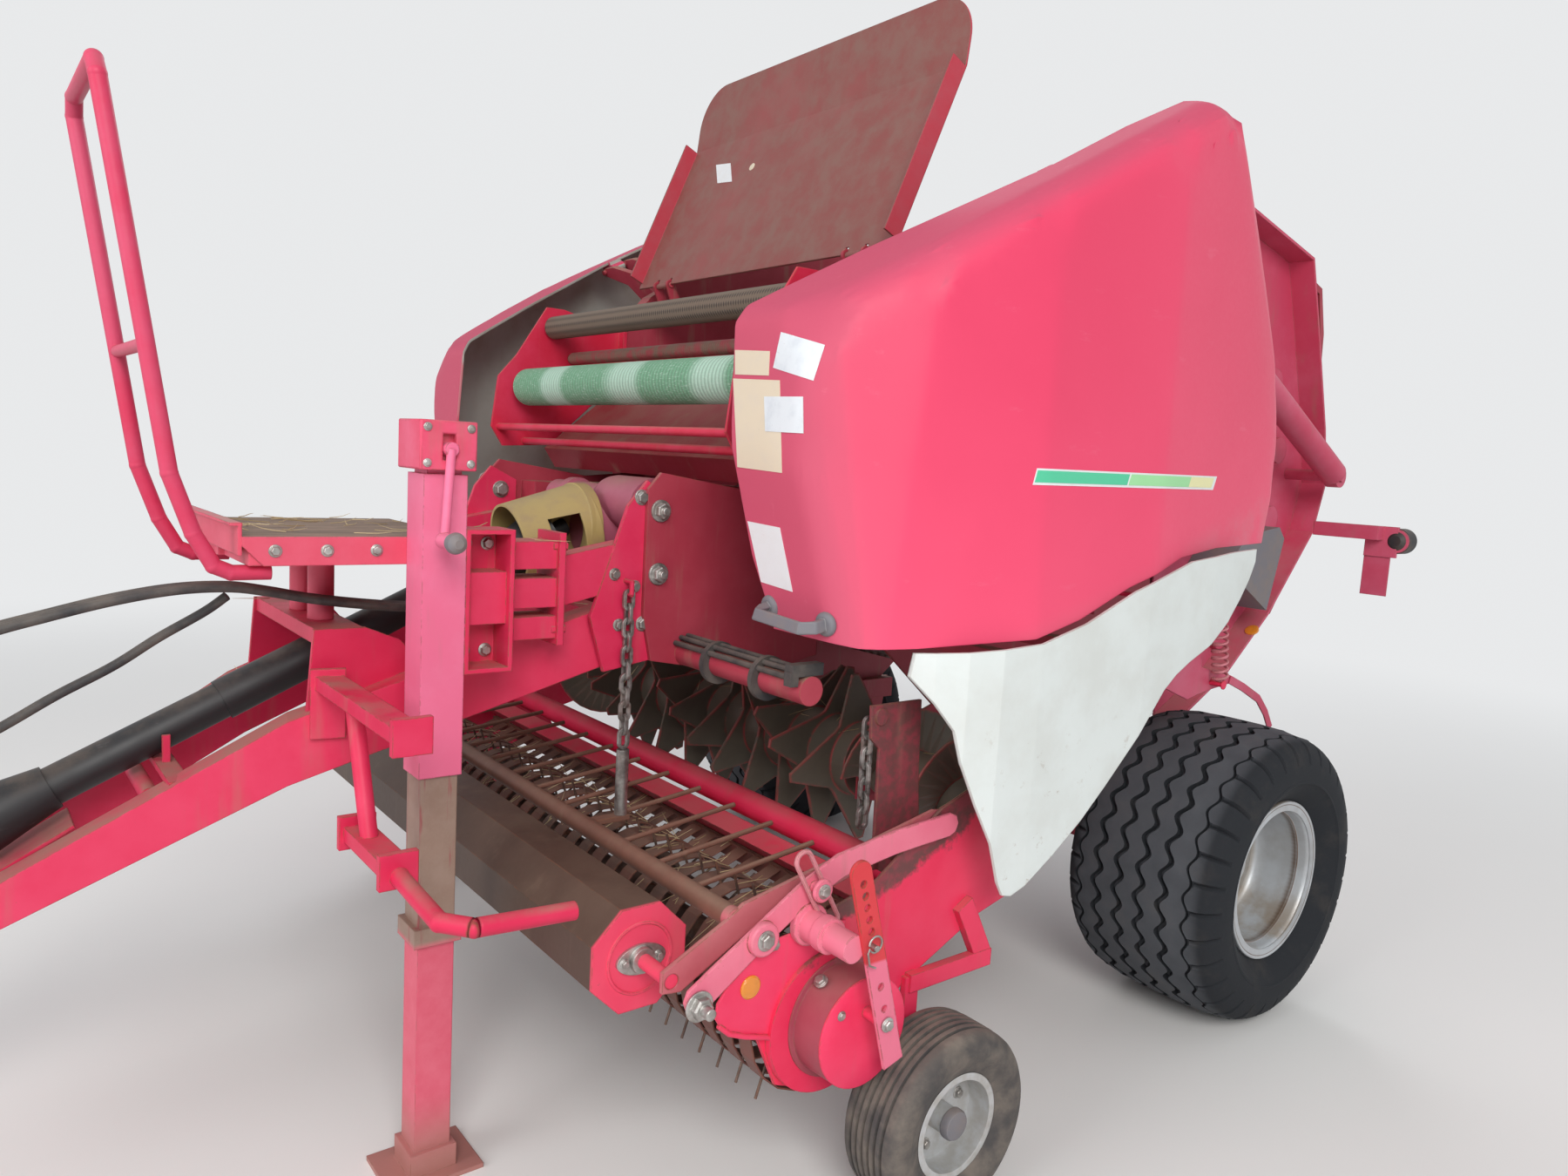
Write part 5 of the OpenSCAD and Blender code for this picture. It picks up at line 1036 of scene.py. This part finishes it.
def pickup_end(side, sign):
    """The parts at one end of the pickup, outward from its side plate."""
    out = (0, sign, 0)

    def by(place, y):
        return (place[0], sign * y, place[1])

    lobes.plate(sign * 1.0984, sign * 0.0060, LOBE)
    lobes.tube([by((1.909, 0.500), 1.1015), by((1.885, 0.478), 1.105), by((1.850, 0.464), 1.109),
                by((1.800, 0.448), 1.109), by((1.760, 0.428), 1.105)], 0.0055, 8)
    lenses.turned(by((1.840, 0.560), 1.1040), out,
                  [(0, 0.0235), (0.003, 0.0235), (0.0055, 0.020), (0.006, 0.004)], 36)
    # Outer arm of the wind guard with its pins
    arms.plate(sign * 1.1062, sign * 0.0080, ARM)
    arms.turned(by(ARM_PIN, 1.1130), out, [(0, 0.034), (0.012, 0.034), (0.015, 0.031)], 28)
    arms.tube([by(STOP_PIN, 1.1135), by(STOP_PIN, 1.1360)], 0.012, 16)
    arms.turned(by(STOP_PIN, 1.1362), out, [(0, 0.024), (0.006, 0.024), (0.008, 0.021)], 28)
    steel.turned(by(GUARD_PIN, 1.1135), out, [(0, 0.028), (0.004, 0.028)], 28)
    steel.bolt(by(GUARD_PIN, 1.1180), out, 0.038, 0.019)
    steel.turned(by(GUARD_PIN, 1.1365), out, [(-0.002, 0.0115), (0.020, 0.0115), (0.022, 0.009)], 18)
    steel.bolt(by(ARM_PIN, 1.1285), out, 0.026, 0.011)
    steel.bolt(by((1.797, 0.640), 1.1135), out, 0.019, 0.011)
    steel.bolt(by(STOP_PIN, 1.1445), out, 0.019, 0.009)
    # Drum of the reel's drive: dusty band, bright face
    drums.turned(by(DRIVE, 1.1130), out, [(0, 0.127), (0.005, 0.127), (0.006, 0.116), (0.080, 0.113)], 48)
    faces.turned(by(DRIVE, 1.1925), out, [(0, 0.1135), (0.004, 0.1135), (0.006, 0.109), (0.007, 0.06)], 48)
    steel.bolt(by((1.685, 0.500), 1.1990), out, 0.013, 0.006)
    steel.bolt(by((1.690, 0.547), 1.1385), (0.62, sign * 0.1, 0.78), 0.019, 0.010)
    # Stepped boss, and the adjusting bar with its row of holes
    arms.turned(by(BAR_BOSS, 1.1040), out,
                [(0, 0.041), (0.002, 0.043), (0.015, 0.043), (0.017, 0.033), (0.050, 0.032), (0.052, 0.036),
                 (0.078, 0.036), (0.080, 0.0275), (0.144, 0.0275)], 32)
    bar_top, bar_foot = Vector(by(BAR_TOP, BAR_Y)), Vector(by(BAR_FOOT, BAR_Y))
    lie = (bar_foot - bar_top).normalized()
    wide = Vector((lie.z, 0, -lie.x)) * BAR_HALF
    rounded = [bar_top + wide * math.cos(a) - lie * BAR_HALF * math.sin(a)
               for a in (math.pi * k / 8 for k in range(9))]
    bar, holes = Form().slab(rounded + [bar_foot - wide, bar_foot + wide], (0, sign * 0.008, 0)), Form()
    for along in BAR_HOLES:
        p = bar_top + lie * along
        holes.turned(by((p.x, p.z), 1.240), out, [(0, 0.0075), (0.030, 0.0075)], 20)
    bar.cut(holes).made(f"adjusting_bar_{side}", "pickup", "bar", "red_paint")
    faces.tube([by((1.618, 0.490), 1.199), by((1.618, 0.490), 1.259)], 0.012, 16)
    steel.bolt(by((1.618, 0.490), 1.2590), out, 0.019, 0.009)
    # Long wire loop round the stop bolt
    along_loop = Vector((0.0783, 0, 0.136)).normalized()
    over_loop = Vector((along_loop.z, 0, -along_loop.x))
    links.tube([Vector(by(LOOP_TOP if math.sin(a) > 0 else LOOP_FOOT, 1.1265))
                + LOOP_R * (math.cos(a) * over_loop + math.sin(a) * along_loop)
                for a in (2 * math.pi * k / 40 for k in range(41))], 0.0052, 8)
    # Locking pin with its wire clip through the bar
    steel.tube([by((1.672, 0.663), 1.240), by((1.672, 0.663), 1.272)], 0.006, 12)
    clip = [(1.672 + 0.016 * math.cos(a), 0.670 + 0.016 * math.sin(a)) for a in turn(16)]
    steel.tube([by(p, 1.2665) for p in [*clip, (1.690, 0.655), (1.684, 0.630), (1.668, 0.622)]], 0.0022, 6)


for side, sign in SIDES:
    pickup_end(side, sign)
lobes.made("pickup_side_lobes", "pickup", "bright", "red_paint", bevel=0.0012)
arms.made("wind_guard_arms", "wind_guard", "arm", "faded_cover", bevel=0.0012)
drums.made("reel_drive_drums", "pickup", "band", "dark_red_paint")
faces.made("reel_drive_faces", "pickup", "bright", "red_paint")
steel.made("pickup_end_bolts", "pickup", "zinc", "chain_steel")
links.made("stop_links", "pickup", "spring", "rusty_steel")
lenses.made("side_reflectors", "pickup", "lens_amber", "yellow_plastic")

# end faces of the press roller: round groove and flange bearing
PRESS_X, PRESS_Z = 2.0, 0.600
rings, bearings = Form(), Form()
for sign in (1, -1):
    out = (0, sign, 0)
    rings.loft([[(PRESS_X + r * math.cos(a), sign * y, PRESS_Z + r * math.sin(a)) for a in turn(40)]
                for y, r in ((0.9598, 0.074), (0.9630, 0.0725), (0.9635, 0.068), (0.9598, 0.066))], caps=False)
    bearings.slab([(PRESS_X + 0.047 * math.cos(a) * (1 + 0.15 * abs(math.cos(a))), sign * 0.9601,
                    PRESS_Z + 0.030 * math.sin(a)) for a in turn(32)], (0, sign * 0.007, 0))
    bearings.turned((PRESS_X, sign * 0.9670, PRESS_Z), out, [(0, 0.027), (0.010, 0.025), (0.011, 0.016)], 28)
    for x in (1.962, 2.038):
        bearings.bolt((x, sign * 0.9672, PRESS_Z), out, 0.013, 0.008)
rings.made("press_roller_rings", "press_roller", "press", "faded_cover")
bearings.made("press_roller_bearings", "press_roller", "zinc", "roller_steel")

# spring brackets with their bent straps, and the rear left reflector
brackets = Form()
for sign in (1, -1):
    brackets.plate(sign * 0.9640, sign * 0.006, [
        (0.300, 1.115), (0.155, 1.173), (0.118, 1.030), (0.020, 1.004), (-0.050, 0.992), (-0.056, 0.968),
        (0.060, 0.958), (0.129, 0.948), (0.179, 0.938), (0.317, 0.988)])
    brackets.tube([(-0.040, sign * 0.974, 0.980), (-0.120, sign * 0.974, 0.950), (-0.220, sign * 0.974, 0.905),
                   (-0.275, sign * 0.974, 0.855), (-0.315, sign * 0.974, 0.800)],
                  0.018, 4, 0.14, math.pi / 4, (0, 0, 1))
brackets.made("spring_brackets", "frame", "tail", "faded_cover")
Form().turned(*sighted("tailgate_frame", 1437, 724),
              [(-0.002, 0.024), (0.004, 0.024), (0.0065, 0.020), (0.007, 0.004)], 32).made(
    "rear_side_reflector", "tailgate", "lens_amber", "yellow_plastic")

# blank labels of the raised hood, and bolts of the platform
laid("hood_square_label", "hood", [(822.0, 190.0), (838.5, 188.0), (840.0, 209.0), (823.5, 211.0)], "white",
     cells=4)
Form().turned(*sighted("hood", 863, 192), [(-0.001, 0.0125), (0.0008, 0.0125), (0.0012, 0.0115)], 28).made(
    "hood_round_label", "hood", "cream", "cream_cover")
fixings = Form()
for x in (2.345, 2.440, 2.535):
    fixings.bolt((x, 0.4545, 1.340), (0, 1, 0), 0.016, 0.009)
fixings.made("platform_bolts", "frame", "zinc", "chain_steel")


# dry grass caught on the bands, the rotor and the platform
def grass(name, body, nodes, low, high, count, seed, pitch=0.0):
    """Strands where rays from above meet the nodes. With a pitch they lie along bands of that spacing."""
    rng = random.Random(seed)
    points, faces = [], []
    for node in nodes:
        data, start = NODES[node].data, len(points)
        points += [p.co.copy() for p in data.vertices]
        faces += [[start + i for i in p.vertices] for p in data.polygons]
    below = BVHTree.FromPolygons(points, faces)
    strands, tries = Form(), 0
    while count and tries < 6000:
        tries += 1
        spot = at(rng.uniform(low[0], high[0]), rng.uniform(low[1], high[1]), high[2])
        hit, normal, _, _ = below.ray_cast(spot, Vector((0, 0, -1)))
        if hit is None or normal.z < 0.35 or hit.z < low[2]:
            continue
        if pitch and abs((hit.y / pitch + 0.5) % 1.0 - 0.5) * pitch > 0.007:
            continue
        spread, ahead = rng.gauss(0, 1), rng.gauss(0, 1)
        if pitch:
            spread, ahead = 0.02 * spread, math.copysign(1.0, ahead)
        way = Vector((spread, ahead, 0)).cross(normal).normalized()
        length, bow = rng.uniform(0.03, 0.11), rng.uniform(-0.012, 0.012) * (0.15 if pitch else 1.0)
        root, bend = hit + Vector((AHEAD, 0, 0)), normal.cross(way)
        strands.tube([root + way * length * t + bend * bow * t * t * 2
                      + normal * (0.0012 + 0.010 * t * t * rng.random()) for t in (0, 0.33, 0.66, 1.0)],
                     [0.0011, 0.0012, 0.0009, 0.0004], 3)
        count -= 1
    strands.made(name, body, "straw", "plywood")


grass("grass_on_bands", "pickup", ["strippers"], (1.42, -1.05, 0.5), (1.76, 1.05, 0.80), 170, 3, pitch=0.070)
grass("grass_on_rotor", "rotor", ["feed_rotor", "auger_flights"], (0.95, -1.0, 0.77), (1.20, 1.0, 1.1), 60, 5)
grass("grass_on_frame", "frame", ["chassis", "drawbar", "platform"], (1.2, -0.6, 0.9), (2.6, 0.6, 1.5), 70, 8)

# camera, floor and light
BACKGROUND, BACKGROUND_LEVEL = (0.90, 0.91, 0.92), 0.9

eye = bpy.data.cameras.new("photo_view")
eye.sensor_width, eye.lens = 36.0, 25.0
eye.clip_start, eye.clip_end = 0.05, 200.0
camera = bpy.data.objects.new("photo_view", eye)
SCENE.collection.objects.link(camera)
right, down, ahead = VIEW_AXES
camera.matrix_world = Matrix.Translation(EYE) @ Matrix((right, -down, -ahead)).transposed().to_4x4()
SCENE.camera = camera

floor_mesh = bpy.data.meshes.new("studio_floor")
floor_mesh.from_pydata([(-40, -40, 0), (40, -40, 0), (40, 40, 0), (-40, 40, 0)], [], [(0, 1, 2, 3)])
floor = bpy.data.objects.new("studio_floor", floor_mesh)
SCENE.collection.objects.link(floor)
ground = Finish("studio_floor_paint")
across, along = ground.axes("XY")
far = ((across * across + along * along) ** 0.5).step(3.2, 9.0)
paint = ground.coat(ground.mix((0.88, 0.875, 0.86), (0.84, 0.835, 0.82), ground.noise(0.6, 2)), 0.85)
# Far from the object the floor takes the background's colour
haze = ground.node("Emission", None, {"Color": rgba(BACKGROUND), "Strength": BACKGROUND_LEVEL})
floor_mesh.materials.append(ground.shown_by(ground.node(
    "MixShader", None, {0: far * ground.background_ray(), 1: paint, 2: haze})))

sky = Finish("studio", bpy.data.worlds)
soft_light = sky.node("Background", None, {"Color": rgba((0.95, 0.97, 1.0)), "Strength": 0.45})
pale = sky.node("Background", None, {"Color": rgba(BACKGROUND), "Strength": BACKGROUND_LEVEL})
SCENE.world = sky.shown_by(
    sky.node("MixShader", None, {0: sky.background_ray(), 1: soft_light, 2: pale}), "OutputWorld")


def lamp(name, place, aim, power, colour=(1, 1, 1)):
    """A soft square lamp at a place, turned to what it lights."""
    data = bpy.data.lights.new(name, "AREA")
    data.shape, data.size, data.energy, data.color = "SQUARE", 4.0, power, colour
    o = bpy.data.objects.new(name, data)
    SCENE.collection.objects.link(o)
    o.rotation_euler = (Vector(aim) - Vector(place)).to_track_quat("-Z", "Y").to_euler()
    o.location = place


lamp("key_lamp", (4.0, 7.0, 5.5), (0, 0.4, 1.1), 470, (1.0, 0.985, 0.96))
lamp("front_lamp", (8.0, 1.0, 3.5), (0.5, 0.0, 1.0), 185)
lamp("back_lamp", (-6.0, -5.0, 6.0), (0, 0, 1.2), 220, (0.95, 0.97, 1.0))
SCENE.view_settings.view_transform = "Standard"
